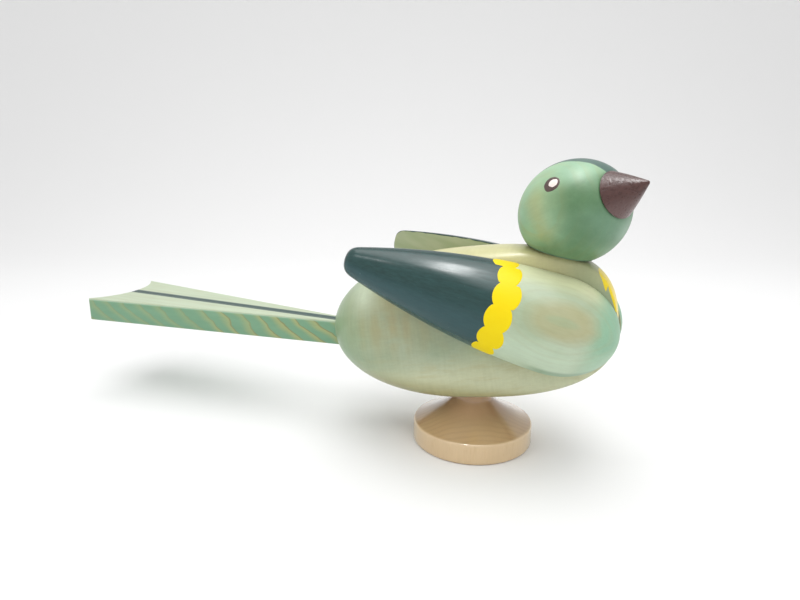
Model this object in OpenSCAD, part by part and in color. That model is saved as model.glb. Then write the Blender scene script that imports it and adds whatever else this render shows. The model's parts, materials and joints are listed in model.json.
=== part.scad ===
// Bird-shaped wooden ocarina that stands on a turned foot.
// +X runs to the breast, +Y to the bird's left and +Z up.
// The origin is the middle of the foot's underside.

/* [Foot] */
// Diameter of the foot
foot_d = 40; // [34:0.5:48]
// Height of the foot's upright rim
foot_rim_h = 7.2; // [5:0.1:9]
// Diameter of the foot's neck
foot_neck_d = 12.6; // [12:0.1:13]
// Height of the foot, from its underside to the top of its neck
foot_h = 18.2; // [18:0.1:18.4]
// How far the sweep from rim to neck bends, on each side of its chord
foot_sweep_bend = 18; // [10:1:24]
// Diameter of the peg that the bird stands on
peg_d = 8; // [7:0.5:9]
// Length of the peg inside the foot
peg_in_foot = 14; // [10:0.5:15]
// Length of the peg inside the belly
peg_in_belly = 14; // [10:0.5:15]

/* [Body] */
// Length of the body along its own axis
body_length = 94.8; // [94:0.2:96]
// Diameter of the body before its sides are flattened
body_d = 49.4; // [49:0.2:50]
// How far the front of the body is raised, in degrees
body_pitch = 9.3; // [8:0.1:10]
// Place of the body's middle along the bird
body_x = -3.2; // [-4:0.1:-2]
// Height of the body's middle
body_z = 41; // [40.8:0.1:41.4]
// Fullness of the breast end: 2 is an ellipse, more is blunter
breast_fullness = 2.74; // [2.2:0.02:3]
// Fullness of the tail end
rump_fullness = 2.1; // [2:0.02:2.4]
// Thickness of the shell's wall
shell_wall = 5.5; // [5:0.1:6]
// Thickness of the wall behind each wing
flank_wall = 4; // [3.6:0.1:4.5]

/* [Head] */
// Length of the head along the line of the beak
head_length = 35; // [34:0.2:36]
// Diameter of the head
head_d = 30.6; // [30:0.2:31.2]
// How far the head is turned to the bird's right, in degrees
head_turn = 34.7; // [0:0.1:45]
// How far the beak is raised, in degrees
beak_raise = 23; // [15:0.5:30]
// How far the seat of the head slopes down to the front, in degrees
seat_slope = 10.5; // [8:0.1:12]
// Place of the seat's middle along the bird
seat_x = 26; // [25:0.1:27]
// Height of the seat's middle
seat_z = 66; // [65.5:0.1:66.2]
// Distance from the seat to the middle of the head
head_rise = 12.8; // [12:0.1:13.4]
// Gap that the head turns on
head_gap = 0.3; // [0.2:0.05:0.5]
// Diameter of the beak at its base
beak_d = 13.7; // [12:0.1:14]
// Distance from the middle of the head to the base of the beak
beak_base = 15.8; // [15.6:0.1:16.2]
// Distance from the middle of the head to the tip of the beak
beak_tip = 26.5; // [24:0.1:30]

/* [Wings] */
// Length of a wing
wing_length = 86.1; // [84:0.1:88]
// Largest radius of a wing
wing_r = 15.3; // [15:0.1:15.6]
// Share of a wing's length that lies in front of its widest place
wing_nose_share = 0.227; // [0.2:0.001:0.25]
// Radius at a wing's rear end as a share of its largest radius
wing_end_share = 0.255; // [0.22:0.005:0.3]
// Power of the curve that narrows a wing towards its rear
wing_taper_power = 1.85; // [1.6:0.05:2.2]
// Place of a wing's widest section along the bird
wing_x = 25.7; // [25:0.1:26.5]
// Distance from the bird's middle plane to a wing's flat face, there
wing_y = 7.2; // [7:0.1:8]
// Height of a wing's axis, there
wing_z = 45.7; // [45:0.1:46.2]
// How far a wing's rear is raised, in degrees
wing_pitch = 15; // [14:0.1:16]
// How far a wing's rear is splayed outwards, in degrees
wing_splay = 11.9; // [11:0.1:12.5]
// How far a wing's flat face leans back, in degrees
wing_lean = 1.7; // [0:0.1:3]

/* [Tail] */
// Length of the tail outside the body
tail_length = 104.7; // [90:0.1:115]
// Thickness of the tail
tail_thickness = 8.8; // [8.4:0.1:9.2]
// Width of the tail where it leaves the body
tail_root_w = 5.4; // [5.2:0.1:6]
// Width of the tail at its end
tail_end_w = 33.4; // [28:0.1:38]
// Depth of the hollow curve that the tail ends in
tail_notch = 7.1; // [5:0.1:9]
// Place where the tail leaves the body, along the bird
tail_x = -48.8; // [-49:0.1:-48]
// Height of the tail's upper face, there
tail_z = 36.4; // [36:0.1:36.8]
// How far the tail rises towards its end, in degrees
tail_rise = 0.5; // [0:0.1:1]

/* [Voice] */
// Height and width of the wind channel through the tail
channel = [5, 2];
// Width of the windway and of the window
windway_w = 8; // [6:0.5:9]
// Height of the windway's slit
windway_h = 1.2; // [1:0.1:1.6]
// Length of the window between the block and the labium's edge
window_length = 6; // [5:0.1:6.4]
// Places of the finger holes along the bird
finger_places = [-11.5, 12, 20, 27.5];
// Diameter of the finger holes
finger_hole_d = 6.2; // [5.6:0.1:6.4]

/* [Hidden] */

$fn = 96;
curve_steps = 22;
reach = 160;
running_fit = 0.05;
loose_fit = 0.3;
glue_fit = 0.05;

rim_edge = 0.8;
neck_straight = 2.2;
neck_recess_d = foot_neck_d + 1.2;
peg_floor_gap = 0.2;
boss_d = 15;
boss_roof = 3;
block_front = -31;
back_hollow_front = 15;
belly_hollow_front = 30;
plenum = [[-0.5, 9], [-39.6, -35.2]];
labium_step = 0.5;
ramp_end = -17;
dowel_d = 5;
dowel_in_wing = 6;
dowel_in_shell = 3;
wing_dowel_places = [[-14, 4], [-40, 5]];
neck_dowel_d = 8;
neck_dowel_in_body = 12;
neck_dowel_in_head = 11;
bore_end_gap = 0.5;
beak_tenon_d = 7;
beak_tenon_length = 7;
beak_tip_r = 0.9;
tail_tongue = 8.6;
channel_top = 1.9;

body_a = body_length / 2;
body_c = body_d / 2;
hollow_a = body_a - shell_wall;
hollow_c = body_c - shell_wall;
window_front = block_front + window_length;
wing_nose = wing_length * wing_nose_share;
wing_rear = wing_length - wing_nose;
tail_notch_r = (tail_end_w * tail_end_w / 4 + tail_notch * tail_notch) / (2 * tail_notch);
head_bore = neck_dowel_in_head + bore_end_gap;

// Radius of the body's outline at a place s along its axis, for half sizes a and c
function fullness(s) = s >= 0 ? breast_fullness : rump_fullness;
function outline_r(s, a, c) = c * pow(1 - pow(abs(s) / a, fullness(s)), 1 / fullness(s));
function outline_point(turn, a, c) =
  let (n = fullness(turn))
  [c * pow(cos(turn), 2 / n), a * sign(turn) * pow(abs(sin(turn)), 2 / n)];
function outline(a, c) =
  [for (i = [-curve_steps:curve_steps]) outline_point(90 * i / curve_steps, a, c)];

// Outline of the turned spindle that two wings are split from, front end first
function wing_curve_r(u) = wing_r * (1 - (1 - wing_end_share) * pow(u, wing_taper_power));
wing_end_length = wing_end_share * wing_r;
wing_end_u = 1 - wing_end_length / wing_rear;
wing_end_r = wing_curve_r(wing_end_u);
function wing_nose_points() =
  [for (i = [0:12]) let (turn = 90 * i / 12) [wing_r * sin(turn), wing_nose * cos(turn)]];
function wing_side_points() =
  [for (i = [1:curve_steps]) let (u = wing_end_u * i / curve_steps) [wing_curve_r(u), -wing_rear * u]];
function wing_end_points() =
  [for (i = [1:8]) let (turn = 90 * i / 8)
    [wing_end_r * cos(turn), -wing_rear * wing_end_u - wing_end_length * sin(turn)]];

// Places: +Z of body_place runs along the body to the breast, and its +X points down.
module body_place() {
  translate([body_x, 0, body_z]) rotate([0, 90 - body_pitch, 0]) children();
}

// Local XZ is the left wing's flat face, and local +Y points out of the body.
module left_flank_place() {
  translate([wing_x, wing_y, wing_z])
    rotate([0, 0, -wing_splay]) rotate([wing_lean, 0, 0]) children();
}

module right_flank_place() {
  mirror([0, 1, 0]) left_flank_place() children();
}

// Local +Z is the axis that the head turns about, and local XY is its seat.
module seat_place() {
  translate([seat_x, 0, seat_z]) rotate([0, seat_slope, 0]) children();
}

// Local +Z is the line of the beak.
module head_place() {
  seat_place() translate([0, 0, head_rise]) rotate([0, -seat_slope, 0])
    rotate([0, 0, -head_turn]) rotate([0, 90 - beak_raise, 0]) children();
}

// Local -X runs back along the tail, and local XY is its upper face.
module tail_place() {
  translate([tail_x, 0, tail_z]) rotate([0, tail_rise, 0]) children();
}

module turned_blank(a, c) {
  body_place() rotate_extrude() polygon(outline(a, c));
}

// Everything outside a wing's flat face, or outside a plane that lies depth within it
module beyond_flank(depth = 0) {
  translate([-reach, -depth, -reach]) cube([2 * reach, reach, 2 * reach]);
}

module beyond_flanks(depth = 0) {
  left_flank_place() beyond_flank(depth);
  right_flank_place() beyond_flank(depth);
}

module body_blank() {
  difference() {
    turned_blank(body_a, body_c);
    beyond_flanks();
    seat_place() cylinder(r = reach, h = reach);
  }
}

module below_seam() {
  body_place() translate([0, -reach, -reach]) cube([reach, 2 * reach, 2 * reach]);
}

// Slice of the body between two places along its axis
module body_slice(rear, front) {
  body_place() translate([-reach, -reach, rear]) cube([2 * reach, 2 * reach, front - rear]);
}

// Air space of the body, from the block's front face to a given place
module air_space(front) {
  difference() {
    intersection() {
      turned_blank(hollow_a, hollow_c);
      body_slice(block_front, front);
    }
    beyond_flanks(flank_wall);
    cylinder(d = boss_d, h = foot_h + peg_in_belly + boss_roof);
  }
}

module block_space() {
  intersection() {
    turned_blank(hollow_a, hollow_c);
    body_slice(-body_a, block_front);
  }
}

module tail_board(side_w, growth = 0) {
  translate([0, 0, -tail_thickness - growth]) linear_extrude(tail_thickness + 2 * growth)
    polygon([
      [tail_tongue + growth, 0],
      [tail_tongue + growth, tail_root_w / 2 + growth],
      [0, tail_root_w / 2 + growth],
      [-tail_length, side_w],
      [-tail_length, 0]
    ]);
}

// Socket that holds the tail's tongue
module tail_mortise() {
  tail_place() {
    tail_board(tail_end_w / 2, glue_fit);
    mirror([0, 1, 0]) tail_board(tail_end_w / 2, glue_fit);
  }
}

module window_cut() {
  body_place() {
    translate([0, -windway_w / 2, block_front]) cube([reach, windway_w, window_length]);
    rotate([90, 0, 0]) linear_extrude(windway_w, center = true)
      polygon([
        [outline_r(window_front, hollow_a, hollow_c) + labium_step, window_front - 0.01],
        [outline_r(ramp_end, body_a, body_c), ramp_end],
        [body_c + 1, ramp_end],
        [body_c + 1, window_front - 0.01]
      ]);
  }
}

module finger_hole_cuts() {
  for (place = finger_places)
    translate([place, 0, 0]) cylinder(d = finger_hole_d, h = foot_h + peg_in_belly);
}

module foot() {
  chord = [foot_neck_d / 2 - foot_d / 2 + rim_edge, foot_h - neck_straight - foot_rim_h];
  middle = [foot_d / 2 - rim_edge, foot_rim_h] + chord / 2;
  sweep_r = norm(chord) / (2 * sin(foot_sweep_bend));
  sweep_centre = middle + [chord[1], -chord[0]] / norm(chord) * sweep_r * cos(foot_sweep_bend);
  color("burlywood") difference() {
    rotate_extrude() difference() {
      polygon([
        [0, 0],
        [foot_d / 2 - rim_edge / 2, 0],
        [foot_d / 2, rim_edge / 2],
        [foot_d / 2, foot_rim_h - rim_edge],
        [foot_d / 2 - rim_edge, foot_rim_h],
        [foot_d / 2 - rim_edge, foot_h - neck_straight],
        [foot_neck_d / 2, foot_h - neck_straight],
        [foot_neck_d / 2, foot_h],
        [0, foot_h]
      ]);
      translate(sweep_centre) circle(r = sweep_r, $fn = 240);
    }
    translate([0, 0, foot_h - peg_in_foot - peg_floor_gap])
      cylinder(d = peg_d + 2 * running_fit, h = foot_h);
  }
}

module foot_peg() {
  color("wheat") translate([0, 0, foot_h - peg_in_foot])
    cylinder(d = peg_d, h = peg_in_foot + peg_in_belly);
}

module belly_shell() {
  color("darkseagreen") difference() {
    intersection() {
      body_blank();
      below_seam();
    }
    air_space(belly_hollow_front);
    block_space();
    tail_mortise();
    window_cut();
    finger_hole_cuts();
    cylinder(d = neck_recess_d, h = foot_h + loose_fit / 2);
    cylinder(d = peg_d + 2 * running_fit, h = foot_h + peg_in_belly + bore_end_gap);
  }
}

module back_shell() {
  color("darkseagreen") difference() {
    body_blank();
    below_seam();
    air_space(back_hollow_front);
    block_space();
    tail_mortise();
    seat_place() translate([0, 0, -neck_dowel_in_body])
      cylinder(d = neck_dowel_d, h = reach);
    left_flank_place() dowel_bores();
    right_flank_place() dowel_bores();
  }
}

// The wind comes out of the tail into a shaft, and leaves it by a slit under the block.
module windway_block() {
  color("tan") difference() {
    intersection() {
      turned_blank(hollow_a - glue_fit, hollow_c - glue_fit);
      body_slice(-body_a, block_front);
    }
    tail_mortise();
    body_place() translate([plenum[0][0], -windway_w / 2, plenum[1][0]])
      cube([plenum[0][1] - plenum[0][0], windway_w, plenum[1][1] - plenum[1][0]]);
    difference() {
      body_place() translate([0, -windway_w / 2, plenum[1][0]]) cube([reach, windway_w, reach]);
      turned_blank(hollow_a - windway_h, hollow_c - windway_h);
    }
  }
}

module tail_half() {
  difference() {
    tail_board(tail_end_w / 2);
    translate([-tail_length - tail_notch_r + tail_notch, 0, -reach])
      cylinder(r = tail_notch_r, h = 2 * reach, $fn = 240);
    translate([-reach, -1, -channel_top - channel[0]])
      cube([2 * reach, 1 + channel[1] / 2, channel[0]]);
  }
}

module left_tail() {
  color("darkseagreen") tail_place() tail_half();
}

module right_tail() {
  color("darkseagreen") tail_place() mirror([0, 1, 0]) tail_half();
}

module wing_dowels(growth = 0) {
  for (place = wing_dowel_places)
    translate([place[0], -dowel_in_shell, place[1]]) rotate([-90, 0, 0])
      cylinder(d = dowel_d, h = dowel_in_shell + dowel_in_wing + growth);
}

module dowel_bores() {
  translate([0, -glue_fit, 0]) wing_dowels(2 * glue_fit);
}

module half_spindle() {
  difference() {
    rotate([0, wing_pitch, 0]) rotate([0, 90, 0])
      rotate_extrude() polygon(concat(wing_nose_points(), wing_side_points(), wing_end_points()));
    translate([-reach, -2 * reach, -reach]) cube(2 * reach);
    dowel_bores();
  }
}

module left_wing() {
  color("darkslategray") left_flank_place() half_spindle();
}

module right_wing() {
  color("darkslategray") right_flank_place() half_spindle();
}

module left_wing_dowels() {
  color("wheat") left_flank_place() wing_dowels();
}

module right_wing_dowels() {
  color("wheat") right_flank_place() wing_dowels();
}

module neck_dowel() {
  color("wheat") seat_place() translate([0, 0, -neck_dowel_in_body])
    cylinder(d = neck_dowel_d, h = neck_dowel_in_body + head_gap + neck_dowel_in_head);
}

module head() {
  half_outline = [for (i = [-curve_steps:curve_steps]) let (turn = 90 * i / curve_steps)
    [head_d / 2 * cos(turn), head_length / 2 * sin(turn)]];
  color("seagreen") difference() {
    head_place() rotate_extrude() polygon(half_outline);
    seat_place() translate([0, 0, head_gap - reach]) cylinder(r = reach, h = reach);
    seat_place() cylinder(d = neck_dowel_d + 2 * running_fit, h = head_gap + head_bore);
    head_place() translate([0, 0, beak_base]) cylinder(r = reach, h = reach);
    head_place() translate([0, 0, beak_base - beak_tenon_length])
      cylinder(d = beak_tenon_d, h = reach);
  }
}

module beak() {
  cone_angle = atan2(beak_d / 2, beak_tip - beak_base);
  tip_centre = beak_tip - beak_tip_r;
  tip_arc = [for (i = [1:5]) let (turn = cone_angle + (90 - cone_angle) * i / 5)
    [beak_tip_r * cos(turn), tip_centre + beak_tip_r * sin(turn)]];
  cone_end = [beak_tip_r * cos(cone_angle), tip_centre + beak_tip_r * sin(cone_angle)];
  color("darkred") head_place() rotate_extrude() polygon(concat([
    [0, beak_base - beak_tenon_length],
    [beak_tenon_d / 2, beak_base - beak_tenon_length],
    [beak_tenon_d / 2, beak_base],
    [beak_d / 2, beak_base],
    cone_end
  ], tip_arc));
}

foot();
foot_peg();
belly_shell();
back_shell();
windway_block();
left_tail();
right_tail();
left_wing();
right_wing();
left_wing_dowels();
right_wing_dowels();
neck_dowel();
head();
beak();
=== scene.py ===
# %% [markdown]
# # A painted wooden bird that is an ocarina
# The bird is turned on a lathe, split, hollowed, glued and painted. The packed model gives the
# pieces, their sizes and the way they move. This script gives them smooth turned surfaces,
# stained wood, thick paint, light and a camera. Every length below is in millimetres until a
# mesh is written, and then it is turned into metres.

# %% Load the frame
import json
import math

import bmesh
import bpy
import numpy as np
from mathutils import Euler, Matrix, Vector


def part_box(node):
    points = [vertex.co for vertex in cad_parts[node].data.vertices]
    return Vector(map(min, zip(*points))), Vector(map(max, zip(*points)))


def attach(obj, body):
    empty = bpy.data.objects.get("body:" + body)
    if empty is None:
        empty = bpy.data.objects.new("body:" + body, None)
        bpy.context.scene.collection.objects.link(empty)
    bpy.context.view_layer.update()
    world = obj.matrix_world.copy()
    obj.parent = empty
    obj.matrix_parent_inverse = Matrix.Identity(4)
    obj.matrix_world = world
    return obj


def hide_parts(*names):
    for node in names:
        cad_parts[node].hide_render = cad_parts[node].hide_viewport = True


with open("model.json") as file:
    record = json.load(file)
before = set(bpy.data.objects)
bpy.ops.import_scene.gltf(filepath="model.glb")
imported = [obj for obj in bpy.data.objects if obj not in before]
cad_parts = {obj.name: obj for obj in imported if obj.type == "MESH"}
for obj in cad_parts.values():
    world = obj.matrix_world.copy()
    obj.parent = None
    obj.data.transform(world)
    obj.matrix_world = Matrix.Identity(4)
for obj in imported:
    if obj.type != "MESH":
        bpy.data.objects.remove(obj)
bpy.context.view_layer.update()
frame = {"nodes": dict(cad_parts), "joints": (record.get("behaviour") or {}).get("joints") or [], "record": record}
MM = 0.001


def cad_mm(node):
    """Lowest and highest corner of a packed piece, in millimetres."""
    low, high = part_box(node)
    return np.array(low) / MM, np.array(high) / MM


bodies = frame["record"]["behaviour"]["bodies"]
print("bodies:", {name: list(nodes) for name, nodes in bodies.items()})

# %% [markdown]
# ## Driving sizes
# A turned piece is an axis, a place and an outline, so a few numbers describe each one. They are
# the same numbers as the construction uses. What can be read from the packed model is read from
# it: the foot from its box, and the head's seat from its joint.

# %% Places and sizes
JOINTS = {joint["name"]: joint for joint in frame["joints"]}
foot_low, foot_high = cad_mm("foot")
FOOT_R = (foot_high[0] - foot_low[0]) / 2
FOOT_RIM_H, FOOT_NECK_R, FOOT_TOP = 7.2, 6.3, foot_high[2]

BODY_PLACE, BODY_PITCH = (-3.2, 0, 41), 9.3
BODY_A, BODY_C = 47.4, 24.7
BREAST_FULLNESS, RUMP_FULLNESS = 2.74, 2.1
SHELL_WALL, FLANK_WALL = 5.5, 4.0

WING_PLACE = (25.7, 7.2, 45.7)
WING_PITCH, WING_SPLAY, WING_LEAN = 15.0, 11.9, 1.7
WING_R, WING_LENGTH, WING_NOSE_SHARE = 15.3, 86.1, 0.227
WING_END_SHARE, WING_TAPER_POWER = 0.255, 1.85

SEAT = np.array(JOINTS["head_turn"]["pos_m"]) / MM
SEAT_AXIS = np.array(JOINTS["head_turn"]["axis"])
HEAD_RISE, HEAD_GAP = 12.8, 0.3
HEAD_TURN, BEAK_RAISE = 34.7, 23.0
HEAD_A, HEAD_R = 17.5, 15.3
BEAK_BASE, BEAK_TIP, BEAK_R = 15.8, 26.5, 6.85

TAIL_PLACE, TAIL_RISE = (-48.8, 0, 36.4), 0.5
TAIL_LENGTH, TAIL_THICKNESS, TAIL_TONGUE = 104.7, 8.8, 8.6
TAIL_ROOT_W, TAIL_END_W, TAIL_NOTCH = 5.4, 33.4, 7.1
print("foot radius", round(FOOT_R, 2), "seat", SEAT.round(2))

# %% [markdown]
# ## Local places
# Each turned piece is drawn around its own axis and then put in its place. A local place is a
# 4 by 4 matrix. The same matrices put the wood's grain and the paint on a piece, because a
# pattern belongs to the piece's own axis.

# %% Matrices for the pieces
def turned(x=0, y=0, z=0):
    """A turn about X, then Y, then Z, in degrees."""
    return Euler([math.radians(a) for a in (x, y, z)]).to_matrix().to_4x4()


BODY_SPACE = Matrix.Translation(BODY_PLACE) @ turned(y=90 - BODY_PITCH)
LEFT_FLANK = Matrix.Translation(WING_PLACE) @ turned(z=-WING_SPLAY) @ turned(x=WING_LEAN)
MIRROR = Matrix.Diagonal((1, -1, 1, 1))
LEFT_WING_SPACE = LEFT_FLANK @ turned(y=WING_PITCH)
HEAD_CENTRE = SEAT + SEAT_AXIS * HEAD_RISE
HEAD_SPACE = Matrix.Translation(HEAD_CENTRE) @ turned(z=-HEAD_TURN) @ turned(y=90 - BEAK_RAISE)
SEAT_SPACE = Matrix.Translation(SEAT) @ turned(y=math.degrees(math.asin(SEAT_AXIS[0])))
TAIL_SPACE = Matrix.Translation(TAIL_PLACE) @ turned(y=TAIL_RISE)
print("head centre", HEAD_CENTRE.round(2))

# %% [markdown]
# ## Sums written as sums
# Blender's materials and Geometry Nodes both do sums with Math nodes. Wiring those by hand is hard
# to read, so a small class wraps a socket and lets Python's own operators add the nodes. With it,
# a rule of the lathe or a mask of paint is written as one line of ordinary algebra.

# %% Wire
class Wire:
    """One output socket. Python's operators on it add Math nodes."""

    def __init__(self, desk, socket):
        self.desk, self.socket = desk, socket

    def sum(self, operation, *others):
        return self.desk.sum(operation, self, *others)

    def __add__(self, other):
        return self.desk.sum("ADD", self, other)

    def __radd__(self, other):
        return self.desk.sum("ADD", other, self)

    def __sub__(self, other):
        return self.desk.sum("SUBTRACT", self, other)

    def __rsub__(self, other):
        return self.desk.sum("SUBTRACT", other, self)

    def __mul__(self, other):
        return self.desk.sum("MULTIPLY", self, other)

    def __rmul__(self, other):
        return self.desk.sum("MULTIPLY", other, self)

    def __truediv__(self, other):
        return self.desk.sum("DIVIDE", self, other)

    def __rtruediv__(self, other):
        return self.desk.sum("DIVIDE", other, self)

    def __pow__(self, other):
        return self.desk.sum("POWER", self, other)

    def __rpow__(self, other):
        return self.desk.sum("POWER", other, self)

    def __neg__(self):
        return self.desk.sum("MULTIPLY", self, -1)

    def __abs__(self):
        return self.desk.sum("ABSOLUTE", self)


print("a wire understands + - * / ** and abs")

# %% [markdown]
# ## A desk for one node tree
# A desk holds the tree that is being wired. One method adds any node: its type, its settings and
# what goes into its sockets. The other methods are short names for the few nodes that come back
# often: the lesser and greater of two numbers, the parts of a vector, a mix of two colours, and a
# soft step, which makes the edge of a painted or stained place.

# %% Desk
class Desk:
    """A node tree that is being wired."""

    def __init__(self, tree):
        self.tree = tree

    def add(self, kind, settings=None, sockets=None, out=0):
        """Adds a node: its type, its settings, and the values or wires of its sockets."""
        node = self.tree.nodes.new(kind)
        for name, value in (settings or {}).items():
            if name == "stops":
                set_stops(node.color_ramp, value)
            else:
                setattr(node, name, value)
        for key, value in (sockets or {}).items():
            if isinstance(value, Wire):
                self.tree.links.new(value.socket, node.inputs[key])
            else:
                node.inputs[key].default_value = value
        return Wire(self, node.outputs[out])

    def sum(self, operation, *values):
        return self.add("ShaderNodeMath", {"operation": operation}, dict(enumerate(values)))

    def least(self, a, b):
        return self.sum("MINIMUM", a, b)

    def most(self, a, b):
        return self.sum("MAXIMUM", a, b)

    def parts(self, vector):
        """The three numbers of a vector."""
        first = self.add("ShaderNodeSeparateXYZ", None, {0: vector})
        outputs = first.socket.node.outputs
        return [Wire(self, outputs[i]) for i in range(3)]

    def vector(self, x, y, z):
        return self.add("ShaderNodeCombineXYZ", None, {0: x, 1: y, 2: z})

    def mix(self, factor, a, b, blend="MIX"):
        """Colour a where factor is 0 and colour b where it is 1."""
        return self.add("ShaderNodeMix", {"data_type": "RGBA", "blend_type": blend},
                        {0: factor, 6: a, 7: b}, out=2)

    def between(self, value, low, high):
        """0 below low, 1 above high, and a soft step between them. low may be the larger."""
        return self.add("ShaderNodeMapRange", {"interpolation_type": "SMOOTHSTEP"},
                        {"Value": value, "From Min": low, "From Max": high})


print("a desk can", [name for name in vars(Desk) if not name.startswith("_")])

# %% [markdown]
# ## An edge drawn as a list of points
# The edge of the bib, the width of the crown and the places of the dabs follow no formula. Each
# is a list of points, as a painter would mark them. A colour ramp holds such a list in one node,
# so the points' outputs are brought to 0..1 for the ramp and back to millimetres after it.

# %% Curve through points
def curve(desk, wire, points):
    """A line through points (input, output), straight between them."""
    first, last = points[0][0], points[-1][0]
    lowest, highest = min(p[1] for p in points), max(p[1] for p in points)
    stops = [((x - first) / (last - first), (share, share, share, 1))
             for x, y in points for share in [(y - lowest) / (highest - lowest)]]
    line = desk.add("ShaderNodeValToRGB", {"stops": stops}, {0: (wire - first) / (last - first)})
    return line * (highest - lowest) + lowest


def set_stops(ramp, stops):
    while len(ramp.elements) < len(stops):
        ramp.elements.new(0.5)
    for element, (place, colour) in zip(ramp.elements, stops):
        element.position, element.color = place, colour


print("a curve goes straight from one of its points to the next")

# %% [markdown]
# ## Trees for shapes that follow a rule
# A lathe makes shapes that follow a rule: the radius depends only on the place along the axis.
# Such a piece starts as a flat grid whose rows are places along the axis and whose columns are
# turns around it, and Set Position bends the grid into the piece. The two long edges and the two
# poles meet, so Merge by Distance closes them.

# %% Start and end of a shape tree
def shape_tree(name, sizes):
    """Starts a Geometry Nodes tree with named inputs. Returns its desk and a wire for each."""
    tree = bpy.data.node_groups.new(name, "GeometryNodeTree")
    tree.interface.new_socket("Geometry", in_out="OUTPUT", socket_type="NodeSocketGeometry")
    for size, start in sizes.items():
        kind = "NodeSocketInt" if isinstance(start, int) else "NodeSocketFloat"
        tree.interface.new_socket(size, in_out="INPUT", socket_type=kind).default_value = start
    tree.interface.new_socket("Finish", in_out="INPUT", socket_type="NodeSocketMaterial")
    entry = tree.nodes.new("NodeGroupInput")
    desk = Desk(tree)
    return desk, {socket.name: Wire(desk, socket) for socket in entry.outputs if socket.name}


def close_tree(desk, geometry, finish):
    """Realizes what the tree made, gives it its finish and sends it out."""
    real = desk.add("GeometryNodeRealizeInstances", None, {0: geometry})
    finished = desk.add("GeometryNodeSetMaterial", None, {"Geometry": real, "Material": finish})
    shaded = desk.add("GeometryNodeSetShadeSmooth", None, {0: finished})
    leave = desk.tree.nodes.new("NodeGroupOutput")
    desk.tree.links.new(shaded.socket, leave.inputs[0])
    return desk.tree


print("a shape tree starts with named sizes and ends with its finish")

# %% [markdown]
# ## A flat grid, bent and grown
# The grid's own coordinates go from 0 to 1, so a rule can be written without thinking of rows and
# columns. After the bending the result becomes a plain mesh in its place, with its faces turned
# outwards, because a bent grid can come out inside out. Two rays that meet in a corner are joined
# by a power mean, which rounds the corner a little, as sanding does.

# %% Grids, and growing a piece
TURN = 2 * math.pi
WELD = 0.002
POLE_R, LEAST = 0.0001, 0.01


def unit_grid(desk, rows, columns):
    """A grid with its own coordinates: u goes from 0 to 1 over the rows, and v over the columns."""
    grid = desk.add("GeometryNodeMeshGrid", None,
                    {"Size X": 1.0, "Size Y": 1.0, "Vertices X": rows, "Vertices Y": columns})
    u, v, _ = desk.parts(desk.add("GeometryNodeInputPosition"))
    return grid, u + 0.5, v + 0.5


def bent(desk, grid, position, weld):
    """The grid moved to position, with its meeting edges merged and scaled from mm to metres."""
    moved = desk.add("GeometryNodeSetPosition", None, {"Geometry": grid, "Position": position})
    closed = desk.add("GeometryNodeMergeByDistance", None, {"Geometry": moved, "Distance": weld})
    return desk.add("GeometryNodeTransform", None, {"Geometry": closed, "Scale": (MM, MM, MM)})


def grow(tree, name, space=Matrix.Identity(4), **sizes):
    """Runs a tree once and returns its result as a plain mesh object in its place."""
    blank = bpy.data.objects.new(name + "_blank", bpy.data.meshes.new(name + "_blank"))
    bpy.context.collection.objects.link(blank)
    modifier = blank.modifiers.new("shape", "NODES")
    modifier.node_group = tree
    for item in tree.interface.items_tree:
        if item.in_out == "INPUT" and item.name.replace(" ", "_") in sizes:
            modifier[item.identifier] = sizes[item.name.replace(" ", "_")]
    bpy.context.view_layer.update()
    evaluated = blank.evaluated_get(bpy.context.evaluated_depsgraph_get())
    mesh = bpy.data.meshes.new_from_object(evaluated)
    bpy.data.objects.remove(blank)
    place = space.copy()
    place.translation = Vector(space.translation) * MM
    mesh.transform(place)
    return wrap(mesh, name)


def wrap(mesh, name):
    """An object at the origin for a finished mesh, with its faces turned outwards."""
    shape = bmesh.new()
    shape.from_mesh(mesh)
    bmesh.ops.recalc_face_normals(shape, faces=shape.faces)
    shape.to_mesh(mesh)
    shape.free()
    mesh.name = name
    piece = bpy.data.objects.new(name, mesh)
    bpy.context.collection.objects.link(piece)
    return piece


def soft_least(first, second, power):
    """The lesser of two lengths, with the corner between them rounded. More power is sharper."""
    return first * (1 + (second / first) ** -power) ** (-1 / power)


print("where 10 mm meets 10 mm, the sanded corner is at", round(soft_least(10, 10, 12), 2), "mm")

# %% [markdown]
# ## The body, a blunt egg with two flats
# The body is one turning, blunter at the breast than at the rump. Its outline is a superellipse:
# the place along the axis and the radius, each as a share of its largest, are raised to a power
# and add up to 1. The flanks are then planed flat for the wings and sanded, so the flats run into
# the round with a soft edge. A ray from the axis meets both the round and the plane of the flat,
# and the smaller of the two lengths, with its corner rounded, is the surface.

# %% Tree of the body
def flank_plane(space, depth=0):
    """The left flat in a piece's own coordinates: its normal, and its distance from the origin."""
    inward = space.inverted() @ LEFT_FLANK
    normal = (inward.to_3x3() @ Vector((0, 1, 0))).normalized()
    return normal, normal.dot(inward.translation) - depth


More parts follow.
